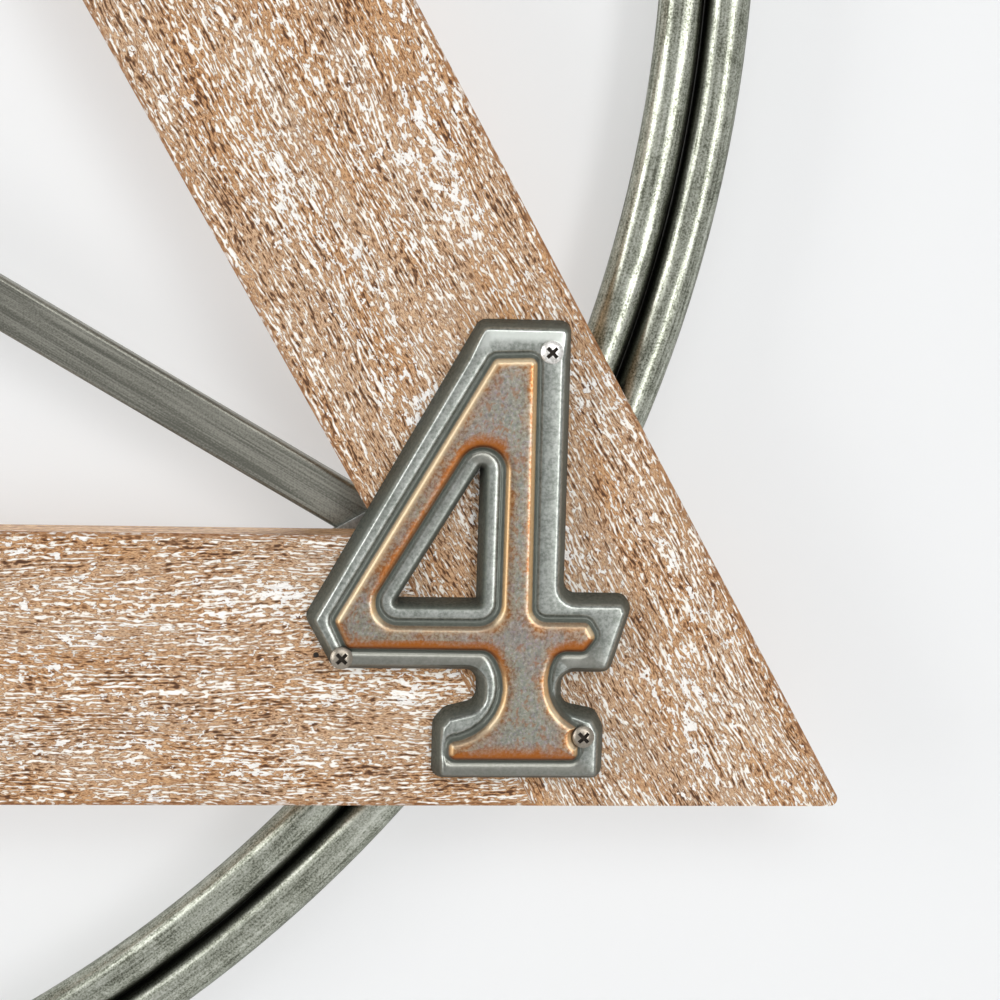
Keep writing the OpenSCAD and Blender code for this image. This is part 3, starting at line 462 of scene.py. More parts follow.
def numeral_material(name):
    """Stamped zinc-grey sheet whose raised edges are rubbed with copper-orange, with painted shade and painted
    highlights.
    """
    s = Shader(name)
    inside = s.product(s.attribute("outside_middle"), -1.0)
    above = s.attribute("above_edge")
    height_share = s.attribute("height_share")
    top = s.step(height_share, 0.82, 0.925)
    fine = s.noise(s.mm, 0.75, 2, 0.6)
    colour, skirt = numeral_sheet(s, fine, s.attribute("inside_outline"), above, height_share)
    # painted shade in the groove around the raised middle
    shaded_groove = s.product(s.step(inside, -1.6, -1.2), s.step(inside, 0.1, -0.3))
    colour = s.coat(colour, srgb(84, 88, 80), shaded_groove, 0.85)
    on_middle = s.step(inside, -0.3, 0.2)
    colour = s.coat(colour, numeral_middle(s, fine, top), on_middle)
    # orange drifts in from all edges
    drift = s.noise(s.mm, 7, 3, 0.6, 0.4, (3, 1, 4))
    ragged = s.total((7.0, drift), (3.0, fine))
    from_edge = s.about(ragged, 1.0, inside)
    warm = s.product(s.step(from_edge, 4.6, 0.4), s.span(top, 0, 1, 0.66, 0.8))
    warm_tone = s.mix(s.step(fine, 0.4, 0.6), srgb(142, 98, 60), srgb(178, 143, 108))
    colour = s.coat(colour, warm_tone, warm, on_middle)
    thin = s.step(from_edge, s.span(top, 0, 1, 1.9, 3.4), 0.3)
    rust = s.mix(s.step(fine, 0.4, 0.6), srgb(158, 98, 48), srgb(190, 138, 84))
    colour = s.coat(colour, rust, thin, s.span(top, 0, 1, 0.65, 0.9), on_middle)
    # a deep stain above each lower edge
    reach = s.step(above, 0.1, 0.95, 1.5, 4.4)
    deep = s.step(s.about(ragged, 0.45, inside), reach, s.product(reach, 0.1))
    deep = s.product(deep, s.step(above, 0.05, 0.6), on_middle)
    deep_rust = s.mix(s.step(inside, 0.1, 1.2), srgb(92, 46, 4), srgb(154, 84, 14))
    colour = s.coat(colour, deep_rust, deep, 0.95)
    # pale crests: worn metal with a painted highlight laid over it
    worn_crest_and_highlight, crest_highlight_tone = numeral_crest_highlight(s, inside, above, top)
    colour = s.coat(colour, crest_highlight_tone, worn_crest_and_highlight)
    # stains, crests, the skirt and the groove are duller
    stain = s.math("MAXIMUM", deep, worn_crest_and_highlight)
    rough = s.math("ADD", s.span(fine, 0.3, 0.7, 0.31, 0.34), s.product(stain, 0.06))
    dulled = s.math("MAXIMUM", stain, s.math("MAXIMUM", skirt, shaded_groove))
    return s.finish(
        Base_Color=colour,
        Metallic=s.rest(s.product(dulled, 0.6)),
        Specular_Tint=ZINC_TINT,
        Roughness=s.math("ADD", rough, s.product(skirt, 0.2)),
    )


def screw_material(name):
    """Nickel-plated heads with painted shade in the cross; the lower screws of a numeral have dulled."""
    s = Shader(name)
    shaded_recess = s.attribute("shaded_recess")
    tone = s.noise(s.mm, 0.7, 3, 0.6)
    colour = s.mix(s.attribute("dull"), srgb(250, 248, 244), srgb(118, 104, 82))
    colour = s.coat(colour, srgb(120, 112, 98), s.step(tone, 0.6, 0.35), 0.4)
    # painted shade in the cross recess
    colour = s.coat(colour, srgb(44, 36, 26), shaded_recess)
    return s.finish(
        Base_Color=colour,
        Metallic=s.math("SUBTRACT", 0.85, s.product(shaded_recess, 0.7)),
        Roughness=s.span(shaded_recess, 0, 1, 0.34, 0.7),
    )


def plain(name, colour, rough, metallic=0.0, grain=0.0, size=1.2):
    """An even material, slightly varied in tone; its fine grain, if any, is grain mm deep."""
    s = Shader(name)
    tone = s.noise(s.mm, size, 3, 0.6)
    darker = tuple(v * (1 - PLAIN_VARY) for v in colour)
    lighter = tuple(min(1.0, v * (1 + PLAIN_VARY)) for v in colour)
    inputs = {"Base_Color": s.mix(tone, darker, lighter), "Roughness": rough, "Metallic": metallic}
    if grain:
        inputs["Normal"] = s.bump(tone, grain, 0.5)
    return s.finish(**inputs)


def battery_material(name):
    """A dark sleeve with a copper-coloured band that leaves the two ends of the cell bare."""
    s = Shader(name)
    low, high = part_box("battery")
    x, _, _ = s.split(s.mm)
    low_end = s.step(x, *(low.x / MM + d for d in BARE_LOW))
    high_end = s.step(x, *(high.x / MM - d for d in BARE_HIGH))
    ends = s.math("MAXIMUM", low_end, high_end)
    band = s.step(x, *(high.x / MM - d for d in BAND))
    jacket = s.mix(band, (0.02, 0.022, 0.028), (0.50, 0.24, 0.07))
    colour = s.coat(jacket, (0.72, 0.72, 0.70), ends)
    return s.finish(Base_Color=colour, Metallic=ends, Roughness=0.32)


materials = {
    "ring_steel": ring_material("ring_zinc"),
    "plate_steel": galvanized("plate_zinc", srgb(140, 143, 140), srgb(180, 183, 180), 4, 0.35),
    "hub_steel": galvanized("hub_zinc", srgb(128, 131, 128), srgb(166, 169, 166), 8, 0.34),
    "numeral_steel": numeral_material("numeral_zinc"),
    "nickel_screw": screw_material("nickel"),
    "zinc_screw": plain("bright_zinc", srgb(190, 194, 198), 0.3, metallic=1.0),
    "bumper_rubber": plain("bumper_black", (0.028, 0.028, 0.028), 0.75, grain=0.05),
    "hand_paint": plain("hand_black", (0.02, 0.02, 0.021), 0.42, grain=0.01),
    "case_plastic": plain("case_black", (0.022, 0.022, 0.024), 0.5, grain=0.03, size=0.4),
    "cover_plastic": plain("cover_black", (0.03, 0.03, 0.032), 0.45, grain=0.03, size=0.4),
    "knob_plastic": plain("knob_grey", (0.5, 0.5, 0.48), 0.45),
    "gear_plastic": plain("acetal", (0.80, 0.79, 0.75), 0.4),
    "gasket_rubber": plain("gasket_black", (0.03, 0.03, 0.03), 0.8),
    "brass": plain("brass", (0.72, 0.52, 0.22), 0.28, metallic=1.0),
    "magnet": plain("magnet_grey", (0.16, 0.16, 0.17), 0.5, metallic=0.6),
    "lamination": plain("iron", (0.5, 0.5, 0.51), 0.35, metallic=1.0),
    "coil_wire": plain("copper_wire", (0.42, 0.14, 0.05), 0.35, metallic=0.5),
    "board": plain("board_green", (0.04, 0.20, 0.08), 0.4),
    "crystal_can": plain("can", (0.75, 0.76, 0.78), 0.25, metallic=1.0),
    "contact_metal": plain("contact_nickel", (0.70, 0.70, 0.68), 0.3, metallic=1.0),
    "battery_jacket": battery_material("battery_sleeve"),
}
node_material = {n: materials[s] for n, s in slot_of.items() if s in materials}
for number, (plank, angle) in enumerate(PLANKS.items()):
    node_material[plank] = wood_material(plank + "_wood", angle, PLANK_SLIDE * number)
for spoke, angle in SPOKES.items():
    node_material[spoke] = brushed_bar(spoke + "_steel", angle)


# ---------------------------------------------------------------- CAD nodes shown as they are

# Edges turn sharp from this angle on, in degrees, and then get a bevel of this many segments
SHARP_ANGLE = 38
BEVEL_SEGMENTS = 2
WELD_MM = 0.0005
# Widths of the bevels in millimetres
BEVELS = {
    "plank_bottom": 0.7, "plank_right": 0.7, "plank_left": 0.7,
    "spoke_12": 0.2, "spoke_4": 0.2, "spoke_8": 0.2,
    "corner_plate_12": 0.25, "corner_plate_4": 0.25, "corner_plate_8": 0.25,
    "ring_straps": 0.3, "hanger_plate": 0.25, "hub_disc": 0.2,
    "wall_bumpers": 0.5, "movement_case": 0.35, "movement_cover": 0.25,
    "set_knob": 0.12, "bush_nut": 0.2, "bush_washer": 0.08,
    "hour_hand": 0.15, "minute_hand": 0.15, "hand_nut": 0.15,
    "numeral_screws": 0.12, "battery": 0.3,
}


def weld_group(angle):
    """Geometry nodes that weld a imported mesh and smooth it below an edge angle, in degrees."""
    group = bpy.data.node_groups.new(f"weld_{angle}", "GeometryNodeTree")
    for way in ("INPUT", "OUTPUT"):
        group.interface.new_socket("Geometry", in_out=way, socket_type="NodeSocketGeometry")
    start = group.nodes.new("NodeGroupInput")
    end = group.nodes.new("NodeGroupOutput")
    weld = group.nodes.new("GeometryNodeMergeByDistance")
    weld.inputs["Distance"].default_value = WELD_MM * MM
    smooth = group.nodes.new("GeometryNodeSetShadeSmooth")
    sharp = group.nodes.new("GeometryNodeSetShadeSmooth")
    sharp.domain = "EDGE"
    edge = group.nodes.new("GeometryNodeInputMeshEdgeAngle")
    flat = group.nodes.new("FunctionNodeCompare")
    flat.operation = "LESS_THAN"
    flat.inputs["B"].default_value = math.radians(angle)
    link = group.links.new
    link(start.outputs[0], weld.inputs["Geometry"])
    link(weld.outputs["Geometry"], smooth.inputs["Geometry"])
    link(smooth.outputs["Geometry"], sharp.inputs["Geometry"])
    link(edge.outputs["Unsigned Angle"], flat.inputs["A"])
    link(flat.outputs["Result"], sharp.inputs["Shade Smooth"])
    link(sharp.outputs["Geometry"], end.inputs[0])
    return group


weld_smooth = weld_group(SHARP_ANGLE)


def dress(node):
    """Smooths a CAD node and softens its edges, without changing its own vertices."""
    obj = nodes[node]
    obj.data.materials.clear()
    obj.data.materials.append(node_material[node])
    obj.modifiers.new("weld", "NODES").node_group = weld_smooth
    if node in BEVELS:
        bevel = obj.modifiers.new("bevel", "BEVEL")
        bevel.limit_method = "ANGLE"
        bevel.angle_limit = math.radians(SHARP_ANGLE)
        bevel.width = BEVELS[node] * MM
        bevel.segments = BEVEL_SEGMENTS
        bevel.use_clamp_overlap = True
        obj.modifiers.new("smooth", "NODES").node_group = weld_smooth
        weighted = obj.modifiers.new("weighted", "WEIGHTED_NORMAL")
        weighted.keep_sharp = True


for node in nodes:
    if node not in TUBES + NUMERALS:
        dress(node)

# The numeral screws, in mm: the faces of one screw lie within SCREW_SPAN of each other, its head
# is HEAD_MM high, and the cross in the head lies within CROSS_R and is over CROSS_MM deep
SCREW_SPAN = 6
HEAD_MM = 1.25
CROSS_R = 1.78
CROSS_MM = 0.9
# The normal of a wall in the cross has less than the first along Y, that of its floor more than
# the second
CROSS_WALL = 0.3
CROSS_FLOOR = 0.98
# How far a dulled head goes from bright to brown
DULL_SHARE = 0.8


def outside_box(node, x, z):
    """How far a place lies outside a CAD node's box in the dial's plane."""
    low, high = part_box(node)
    return max(low.x - x, x - high.x, low.z - z, z - high.z)


def mark_screws(node):
    """Marks each face of the screws: is it in the cross, where shade is painted, and how dull is its head."""
    mesh = nodes[node].data
    centres = np.array([tuple(f.center) for f in mesh.polygons])
    normals = np.array([tuple(f.normal) for f in mesh.polygons])
    flat = centres[:, (0, 2)]
    firsts = []
    for c in flat:
        if not any(math.dist(c, other) < SCREW_SPAN * MM for other in firsts):
            firsts.append(tuple(c))
    screws = []
    for first in firsts:
        mine = flat[np.hypot(*(flat - first).T) < SCREW_SPAN * MM]
        screws.append((mine.min(0) + mine.max(0)) / 2)
    screws = np.array(screws)
    away = np.hypot(*(flat[:, None] - screws).transpose(2, 0, 1))
    owner = away.argmin(1)
    top = centres[:, 1].min()
    in_head = centres[:, 1] < top + HEAD_MM * MM
    near = away.min(1) < CROSS_R * MM
    sideways = np.abs(normals[:, 1]) < CROSS_WALL
    deep = centres[:, 1] > top + CROSS_MM * MM
    shaded_recess = in_head & near & (sideways | (deep & (np.abs(normals[:, 1]) > CROSS_FLOOR)))
    # the highest screw of each numeral is still bright
    highest = {}
    for k, (x, z) in enumerate(screws):
        closest = min(NUMERALS, key=lambda n: outside_box(n, x, z))
        if closest not in highest or z > screws[highest[closest]][1]:
            highest[closest] = k
    dull = np.where(np.isin(owner, list(highest.values())), 0.0, DULL_SHARE)
    for name, values in (("shaded_recess", shaded_recess), ("dull", dull)):
        layer = mesh.attributes.new(name, "FLOAT", "FACE")
        layer.data.foreach_set("value", np.asarray(values, np.float32))


mark_screws("numeral_screws")


def mesh_object(name, vertices, faces, material, body, smooth=True):
    """A new piece in the row frame that rides on a body."""
    mesh = bpy.data.meshes.new(name)
    mesh.from_pydata(vertices, [], faces)
    mesh.update()
    if smooth:
        mesh.shade_smooth()
    mesh.materials.append(material)
    obj = bpy.data.objects.new(name, mesh)
    bpy.context.scene.collection.objects.link(obj)
    if body:
        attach(obj, body)
    return obj


# ---------------------------------------------------------------- ring tubes

RING_STEPS = 288
TUBE_STEPS = 28


def ring_tube(node):
    """A closed round tube on the CAD tube's box."""
    low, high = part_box(node)
    middle_y = (low.y + high.y) / 2
    minor = (high.y - low.y) / 2
    major = (high.x - low.x) / 2 - minor
    vertices = []
    for i in range(RING_STEPS):
        around = 2 * math.pi * i / RING_STEPS
        for j in range(TUBE_STEPS):
            turn = 2 * math.pi * j / TUBE_STEPS
            r = major + minor * math.cos(turn)
            y = middle_y + minor * math.sin(turn)
            vertices.append((r * math.cos(around), y, dial_z + r * math.sin(around)))
    faces = []
    for i in range(RING_STEPS):
        here, following = i * TUBE_STEPS, (i + 1) % RING_STEPS * TUBE_STEPS
        for j in range(TUBE_STEPS):
            m = (j + 1) % TUBE_STEPS
            faces.append((here + j, following + j, following + m, here + m))
    obj = mesh_object(node + "_round", vertices, faces, node_material[node], "frame")
    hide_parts(node)


for tube in TUBES:
    ring_tube(tube)


# ---------------------------------------------------------------- stamped numerals

# Height above the wood against the distance in from the outline, in mm like what follows
SKIRT = (
    (0.0, 0.0), (0.2, 1.0), (0.75, 2.9), (1.35, 4.4), (1.85, 5.4), (2.2, 5.95), (2.5, 6.27),
    (2.8, 6.44), (3.25, 6.5),
)
# The same at the fold around the hole through the numeral
FOLD = (
    (0.0, 0.0), (0.15, 2.2), (0.45, 3.9), (0.8, 5.1), (1.15, 5.8), (1.5, 6.22), (1.85, 6.42),
    (2.3, 6.5),
)
# Height against the distance out from the raised middle: flat, round edge, wall, groove, rim
MIDDLE = (
    (-7.0, 8.5), (-5.0, 8.5), (-3.4, 8.5), (-2.2, 8.5), (-1.6, 8.48), (-1.1, 8.41), (-0.7, 8.25),
    (-0.35, 7.95), (0.0, 7.45), (0.3, 6.87), (0.6, 6.35), (0.9, 6.02), (1.15, 5.93), (1.4, 6.0),
    (1.65, 6.17), (1.95, 6.34), (2.3, 6.45), (2.7, 6.5),
)
RIM_H = 6.5
SHEET = 0.8
# The skirt's fall counts fully from this far outside the raised middle
BLEND = 0.8
# The skirt narrows towards the topmost point: from TOP_FROM below it, over TOP_OVER, by a share
TOP_FROM = 9
TOP_OVER = 5
TOP_MORE = 0.3
# A screw hole's outline spans less than HOLE_MOST, and the raised middle's foot lies within
# GAP_LEAST of its top
HOLE_MOST = 4
GAP_LEAST = 1.0
# Sampling: the grid and its margin, how far a line is thinned, and the step for slopes
GRID = 0.5
MARGIN = 1.3
KEEP = 0.015
PROBE = 0.06
# Loops of the middle and level lines with no more points than these are specks
MIDDLE_SPECK = 5
LINE_SPECK = 6
# A triangle's centre is off the sheet below OFF_SHEET, and a point is on its rim below ON_RIM
OFF_SHEET = 1e-3
ON_RIM = 2e-3
SAME_POINT = 1e-4
# Faces lie at one depth within this, in metres, and face the front from this Y of the normal on
SAME_DEPTH = 1e-5
FRONT_Y = -0.99
# Points taken at a time, which bounds the memory used
CHUNK = 4096
# The distance to a hole where there is none, and the marks on the sheet's back
NO_HOLE = 99.0
BACK_MARK = 9.0


def flat_loops(node, y):
    """Outlines of a CAD node's flat, front-facing faces at depth y, as arrays of (x, z) in mm."""
    mesh = nodes[node].data
    key = {}
    edges = {}
    for polygon in mesh.polygons:
        if polygon.normal.y > FRONT_Y or abs(polygon.center.y - y) > SAME_DEPTH:
            continue
        ids = []
        for v in polygon.vertices:
            co = mesh.vertices[v].co
            ids.append(key.setdefault((round(co.x, 6), round(co.z, 6)), len(key)))
        for a, b in zip(ids, ids[1:] + ids[:1]):
            # an edge met in both directions lies inside; the dict keeps the others in order
            if (b, a) in edges:
                del edges[(b, a)]
            elif a != b:
                edges[(a, b)] = True
    points = np.array(list(key), float) / MM
    after = {}
    for a, b in edges:
        after.setdefault(a, []).append(b)
    loops = []
    while after:
        start = next(iter(after))
        loop, current = [], start
        while current in after:
            loop.append(current)
            following = after[current].pop()
            if not after[current]:
                del after[current]
            current = following
        loops.append(points[loop])
    return loops


def distances(points, loops):
    """Distance from each point to the nearest loop, and whether it is inside (even-odd)."""
    a = np.concatenate(loops)
    b = np.concatenate([np.roll(loop, -1, axis=0) for loop in loops])
    step = b - a
    length2 = np.maximum((step**2).sum(1), 1e-12)
    best = np.empty(len(points))
    inside = np.empty(len(points), bool)
    for i in range(0, len(points), CHUNK):
        p = points[i : i + CHUNK, None, :]
        rel = p - a
        t = np.clip((rel * step).sum(2) / length2, 0, 1)
        best[i : i + CHUNK] = np.sqrt(((rel - t[..., None] * step) ** 2).sum(2).min(1))
        above = (a[:, 1] > p[..., 1]) != (b[:, 1] > p[..., 1])
        with np.errstate(divide="ignore", invalid="ignore"):
            cross = a[:, 0] + (p[..., 1] - a[:, 1]) * step[:, 0] / step[:, 1]
        inside[i : i + CHUNK] = (above & (p[..., 0] < cross)).sum(1) % 2 == 1
    return best, inside


def signed(points, loops):
    """Signed distance, positive inside."""
    distance, inside = distances(points, loops)
    return np.where(inside, distance, -distance)


def level_lines(xs, zs, field, level):
    """Closed level lines of a sampled field, as arrays of (x, z)."""
    f = field - level
    f[np.abs(f) < 1e-9] = 1e-9
    points, at = [], {}

    def crossing(i, j, horizontal):
        k = (i, j, horizontal)
        if k not in at:
            f0 = f[i, j]
            f1 = f[i + 1, j] if horizontal else f[i, j + 1]
            t = f0 / (f0 - f1)
            x = xs[i] + (t * (xs[i + 1] - xs[i]) if horizontal else 0)
            z = zs[j] + (0 if horizontal else t * (zs[j + 1] - zs[j]))
            at[k] = len(points)
            points.append((x, z))
        return at[k]

    s = f > 0
    corner = s[:-1, :-1]
    mixed = (corner ^ s[1:, :-1]) | (corner ^ s[:-1, 1:]) | (corner ^ s[1:, 1:])
    joined = {}
    for i, j in zip(*np.nonzero(mixed)):
        hits = []
        if s[i, j] != s[i + 1, j]:
            hits.append(crossing(i, j, True))
        if s[i + 1, j] != s[i + 1, j + 1]:
            hits.append(crossing(i + 1, j, False))
        if s[i, j + 1] != s[i + 1, j + 1]:
            hits.append(crossing(i, j + 1, True))
        if s[i, j] != s[i, j + 1]:
            hits.append(crossing(i, j, False))
        for a, b in zip(hits[::2], hits[1::2]):
            joined.setdefault(a, []).append(b)
            joined.setdefault(b, []).append(a)
    loops, seen = [], set()
    for start in joined:
        if start in seen:
            continue
        loop, current, previous = [], start, None
        while current is not None and current not in seen:
            seen.add(current)
            loop.append(current)
            options = [n for n in joined[current] if n != previous and n not in seen]
            previous, current = current, (options[0] if options else None)
        loops.append(np.array([points[k] for k in loop]))
    return loops


def thinned(loop, keep):
    """A closed loop without the points that lie within keep of a straight run."""
    far = int(np.argmax(((loop - loop[0]) ** 2).sum(1)))
    stack = [(0, far), (far, len(loop))]
    wanted = {0, far}
    closed = np.vstack([loop, loop[:1]])
    while stack:
        a, b = stack.pop()
        if b - a < 2:
            continue
        p, q = closed[a], closed[b]
        d = q - p
        n = math.hypot(*d) or 1e-9
        rel = closed[a + 1 : b] - p
        off = np.abs(rel[:, 0] * d[1] - rel[:, 1] * d[0]) / n
        k = int(np.argmax(off))
        if off[k] > keep:
            wanted.add(a + 1 + k)
            stack += [(a, a + 1 + k), (a + 1 + k, b)]
    return loop[sorted(wanted)]


def profile(table, distance):
    """The height at a distance, straight between the table's points."""
    return np.interp(distance, [d for d, _ in table], [h for _, h in table])


def area(loop):
    """The area that a loop encloses."""
    x, z = loop.T
    return abs(np.sum(x * np.roll(z, -1) - np.roll(x, -1) * z)) / 2


def numeral_outlines(node):
    """A numeral's outer outline, its holes and its raised middle, each as a list of loops."""
    rim_y = wood_front - RIM_H * MM
    top_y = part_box(node)[0].y
    middle = [p for p in flat_loops(node, top_y) if len(p) > MIDDLE_SPECK]
    outline = []
    for loop in flat_loops(node, rim_y):
        gap = distances(loop, middle)[0].mean()
        if np.ptp(loop, axis=0).max() >= HOLE_MOST and gap > GAP_LEAST:
            outline.append(loop)
    largest = int(np.argmax([area(p) for p in outline]))
    return [outline[largest]], outline[:largest] + outline[largest + 1 :], middle


def sheet_height(from_outer, from_hole, from_middle):
    """Height of the sheet's front above the wood at these distances."""
    rim = np.minimum(profile(SKIRT, from_outer), profile(FOLD, from_hole))
    share = np.clip(from_middle / BLEND, 0, 1)
    return profile(MIDDLE, from_middle) - (RIM_H - rim) * share


def contours(outer, holes, fields):
    """The outlines and the lines of equal height, thinned: the edges that the mesh follows."""
    low = outer[0].min(0) - MARGIN
    high = outer[0].max(0) + MARGIN
    xs = np.arange(low[0], high[0], GRID)
    zs = np.arange(low[1], high[1], GRID)
    grid = np.stack(np.meshgrid(xs, zs, indexing="ij"), -1).reshape(-1, 2)
    sampled = [f.reshape(len(xs), len(zs)) for f in fields(grid)]
    lines = [thinned(loop, KEEP) for loop in outer + holes]
    for field, table in zip(sampled, (SKIRT[1:], FOLD[1:] if holes else (), MIDDLE)):
        for level, _ in table:
            found = level_lines(xs, zs, field, level)
            lines += [thinned(loop, KEEP) for loop in found if len(loop) > LINE_SPECK]
    return lines


def triangulated(lines, fields):
    """Points and triangles between the lines, counter-clockwise in (x, z), which faces -Y."""
    edges, first = [], 0
    for loop in lines:
        edges += [(first + k, first + (k + 1) % len(loop)) for k in range(len(loop))]
        first += len(loop)
    points = [Vector(p) for p in np.concatenate(lines)]
    flat, _, faces, *_ = delaunay_2d_cdt(points, edges, [], 0, SAME_POINT)
    flat = np.array([tuple(p) for p in flat])
    faces = np.array(faces)
    from_outer, from_hole, _ = fields(flat[faces].mean(1))
    faces = faces[(from_outer > OFF_SHEET) & (from_hole > OFF_SHEET)]
    used, faces = np.unique(faces, return_inverse=True)
    return flat[used], faces.reshape(-1, 3)


def numeral(node):
    """A stamped numeral in one piece of sheet, on the outlines of its CAD node."""
    outer, holes, middle = numeral_outlines(node)
    peak, foot = outer[0][:, 1].max(), outer[0][:, 1].min()

    def fields(points):
        # the topmost edge is rounded more closely
        top = np.clip((points[:, 1] - peak + TOP_FROM) / TOP_OVER, 0, 1)
        from_outer = signed(points, outer) * (1 + TOP_MORE * top)
        from_hole = -signed(points, holes) if holes else np.full(len(points), NO_HOLE)
        return from_outer, from_hole, -signed(points, middle)

    flat, faces = triangulated(contours(outer, holes, fields), fields)
    here = fields(flat)
    inside_outline = np.minimum(here[0], here[1])
    h = np.clip(sheet_height(*here), 0, None)
    rim_edge = inside_outline < ON_RIM
    h[rim_edge] = 0.0
    # normals from the height's slope, and the direction away from the raised middle
    slopes, away = [], []
    for axis in (0, 1):
        shift = np.zeros(2)
        shift[axis] = PROBE
        ahead, behind = fields(flat + shift), fields(flat - shift)
        slopes.append((sheet_height(*ahead) - sheet_height(*behind)) / (2 * PROBE))
        away.append(ahead[2] - behind[2])
    normals = np.stack([-slopes[0], -np.ones(len(flat)), -slopes[1]], 1)
    normals /= np.linalg.norm(normals, axis=1)[:, None]
    n = len(flat)
    # the sheet's back shares the front's vertices along its rim
    back_h = np.clip(h - SHEET, 0, None)
    front, back = (np.stack([flat[:, 0], front_mm - up, flat[:, 1]], 1) * MM for up in (h, back_h))
    back_id = np.where(rim_edge, np.arange(n), np.arange(n) + n)
    vertices = np.concatenate([front, back]).tolist()
    all_faces = faces.tolist() + back_id[faces[:, ::-1]].tolist()
    obj = mesh_object(node + "_stamped", vertices, all_faces, node_material[node], "frame")
    marks = {
        "outside_middle": here[2],
        "inside_outline": inside_outline,
        "above_edge": -away[1] / np.maximum(np.hypot(*away), 1e-9),
        "height_share": (flat[:, 1] - foot) / (peak - foot),
    }
    for name, values in marks.items():
        layer = obj.data.attributes.new(name, "FLOAT", "POINT")
        padded = np.concatenate([values, np.full(n, BACK_MARK)])
        layer.data.foreach_set("value", padded.astype(np.float32))
    both = np.concatenate([normals, -normals])
    obj.data.normals_split_custom_set_from_vertices([tuple(v) for v in both])
    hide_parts(node)


for digit in NUMERALS:
    numeral(digit)


# ---------------------------------------------------------------- stage

WALL_HALF = 3.0
WALL_Y = 0.0008
FLOOR_HALF = 4.0
FLOOR_Z = dial_z - 1.5
# The even tone that a surface is drawn towards where it is seen, and by how much
WALL_LEVEL, WALL_SHOWN = 0.92, 0.5
FLOOR_LEVEL, FLOOR_SHOWN = 0.72, 0.6
PATCH_MM = 300
# The surroundings' strength as light, and where they are seen
WORLD_LIGHT = 0.36
WORLD_SEEN = 0.62
# Each lamp's place from the dial's centre in metres, its sides in metres and its watts
LAMPS = {
    "left": ((-2.12, -1.32, 0.15), (0.8, 2.2), 30),
    "right": ((1.36, -2.10, 0.15), (0.65, 2.2), 25),
    "above": ((0.25, -1.95, 1.3), (1.8, 0.8), 14),
    "rear": ((0.8, 2.2, 1.2), (1.6, 1.6), 60),
}


def paint(name, dark, light, shown, level, one_sided):
    """Paint evened to level by shown where it is seen; one-sided paint is clear from behind."""
    s = Shader(name)
    tone = s.noise(s.mm, PATCH_MM)
    s.finish(Base_Color=s.mix(tone, dark, light), Roughness=0.9, Specular_IOR_Level=0.2)
    path = s.new("LightPath").outputs
    seen = s.math("ADD", path["Is Camera Ray"], path["Is Glossy Ray"])
    seen = s.math("ADD", seen, path["Is Transmission Ray"], clamp=True)
    even = s.new("Emission")
    s.plug(even.inputs["Color"], (level,) * 3)
    surface = s.blend(s.product(seen, shown), s.bsdf.outputs[0], even.outputs[0])
    if one_sided:
        behind = s.new("NewGeometry").outputs["Backfacing"]
        hidden = s.math("MAXIMUM", behind, path["Is Shadow Ray"])
        surface = s.blend(hidden, surface, s.new("BsdfTransparent").outputs[0])
    s.plug(s.tree.nodes["Material Output"].inputs["Surface"], surface)
    return s.material


def sheet(name, corners, material):
    """One rectangle of the stage, from its corners in turn."""
    return mesh_object(name, corners, [(0, 1, 2, 3)], material, None, smooth=False)


wall_obj = sheet(
    "wall",
    [
        (-WALL_HALF, WALL_Y, FLOOR_Z), (WALL_HALF, WALL_Y, FLOOR_Z),
        (WALL_HALF, WALL_Y, WALL_HALF), (-WALL_HALF, WALL_Y, WALL_HALF),
    ],
    paint("wall_paint", (0.77, 0.785, 0.795), (0.79, 0.805, 0.815), WALL_SHOWN, WALL_LEVEL, True),
)
floor_obj = sheet(
    "floor",
    [
        (-WALL_HALF, -FLOOR_HALF, FLOOR_Z), (WALL_HALF, -FLOOR_HALF, FLOOR_Z),
        (WALL_HALF, FLOOR_HALF, FLOOR_Z), (-WALL_HALF, FLOOR_HALF, FLOOR_Z),
    ],
    paint("floor_paint", (0.74,) * 3, (0.78,) * 3, FLOOR_SHOWN, FLOOR_LEVEL, False),
)

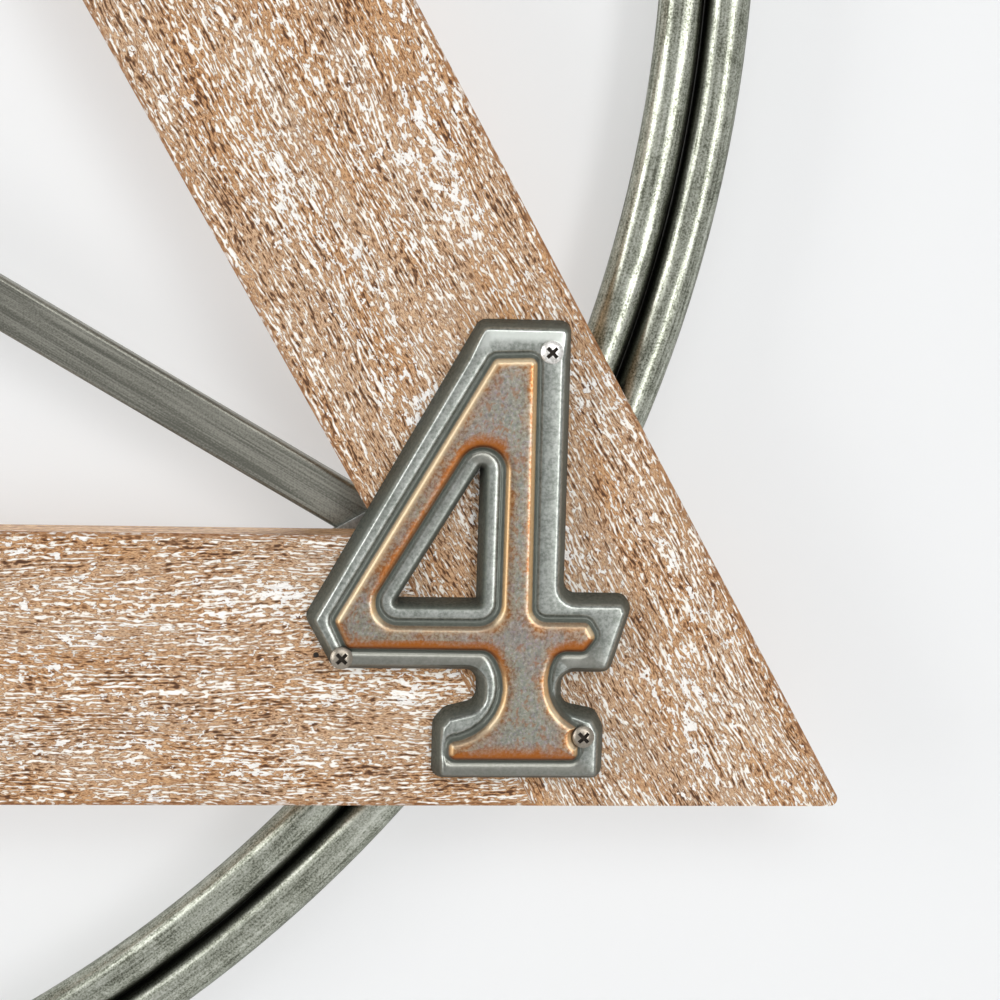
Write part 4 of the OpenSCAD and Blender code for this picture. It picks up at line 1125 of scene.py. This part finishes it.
world = bpy.data.worlds.new("studio")
bpy.context.scene.world = world
world.use_nodes = True
sky = world.node_tree
path = sky.nodes.new("ShaderNodeLightPath").outputs
seen = path["Is Camera Ray"]
for ray in ("Is Glossy Ray", "Is Transmission Ray"):
    either = sky.nodes.new("ShaderNodeMath")
    either.operation = "MAXIMUM"
    sky.links.new(seen, either.inputs[0])
    sky.links.new(path[ray], either.inputs[1])
    seen = either.outputs[0]
grey = sky.nodes.new("ShaderNodeMix")
grey.data_type = "RGBA"
grey.inputs[6].default_value = (WORLD_LIGHT, WORLD_LIGHT, WORLD_LIGHT, 1)
grey.inputs[7].default_value = (WORLD_SEEN, WORLD_SEEN, WORLD_SEEN, 1)
sky.links.new(seen, grey.inputs[0])
sky.links.new(grey.outputs[2], sky.nodes["Background"].inputs["Color"])

dial = Vector((0, 0, dial_z))
for name, (place, sides, watts) in LAMPS.items():
    lamp = bpy.data.lights.new(name, "AREA")
    lamp.shape = "RECTANGLE"
    lamp.size, lamp.size_y = sides
    lamp.energy = watts
    obj = bpy.data.objects.new(name, lamp)
    obj.location = dial + Vector(place)
    obj.rotation_euler = (-Vector(place)).to_track_quat("-Z", "Y").to_euler()
    bpy.context.scene.collection.objects.link(obj)

# ---------------------------------------------------------------- camera at the photograph's angle

SENSOR_MM = 36.0
LENS_MM = 89.57
CLIP = (0.01, 50.0)
CAMERA_FROM_DIAL = Vector((0.227, -0.640, -0.032))
YAW, PITCH, ROLL = math.radians(5.97), math.radians(10.12), math.radians(1.86)

camera_data = bpy.data.cameras.new("camera")
camera_data.sensor_width = SENSOR_MM
camera_data.lens = LENS_MM
camera_data.clip_start, camera_data.clip_end = CLIP
camera = bpy.data.objects.new("camera", camera_data)
bpy.context.scene.collection.objects.link(camera)
bpy.context.scene.camera = camera
camera.location = dial + CAMERA_FROM_DIAL
# rows: right, down and forward; level faces +Y, and the turns follow in the camera's own axes
level = Matrix(((1, 0, 0), (0, 0, -1), (0, 1, 0)))
cos, sin = math.cos, math.sin
yaw = Matrix(((cos(YAW), 0, -sin(YAW)), (0, 1, 0), (sin(YAW), 0, cos(YAW))))
pitch = Matrix(((1, 0, 0), (0, cos(PITCH), -sin(PITCH)), (0, sin(PITCH), cos(PITCH))))
roll = Matrix(((cos(ROLL), -sin(ROLL), 0), (sin(ROLL), cos(ROLL), 0), (0, 0, 1)))
look = roll @ pitch @ yaw @ level
camera.rotation_euler = Matrix((look[0], -look[1], -look[2])).transposed().to_euler()

bpy.context.scene.view_settings.view_transform = "Standard"

bpy.context.view_layer.update()
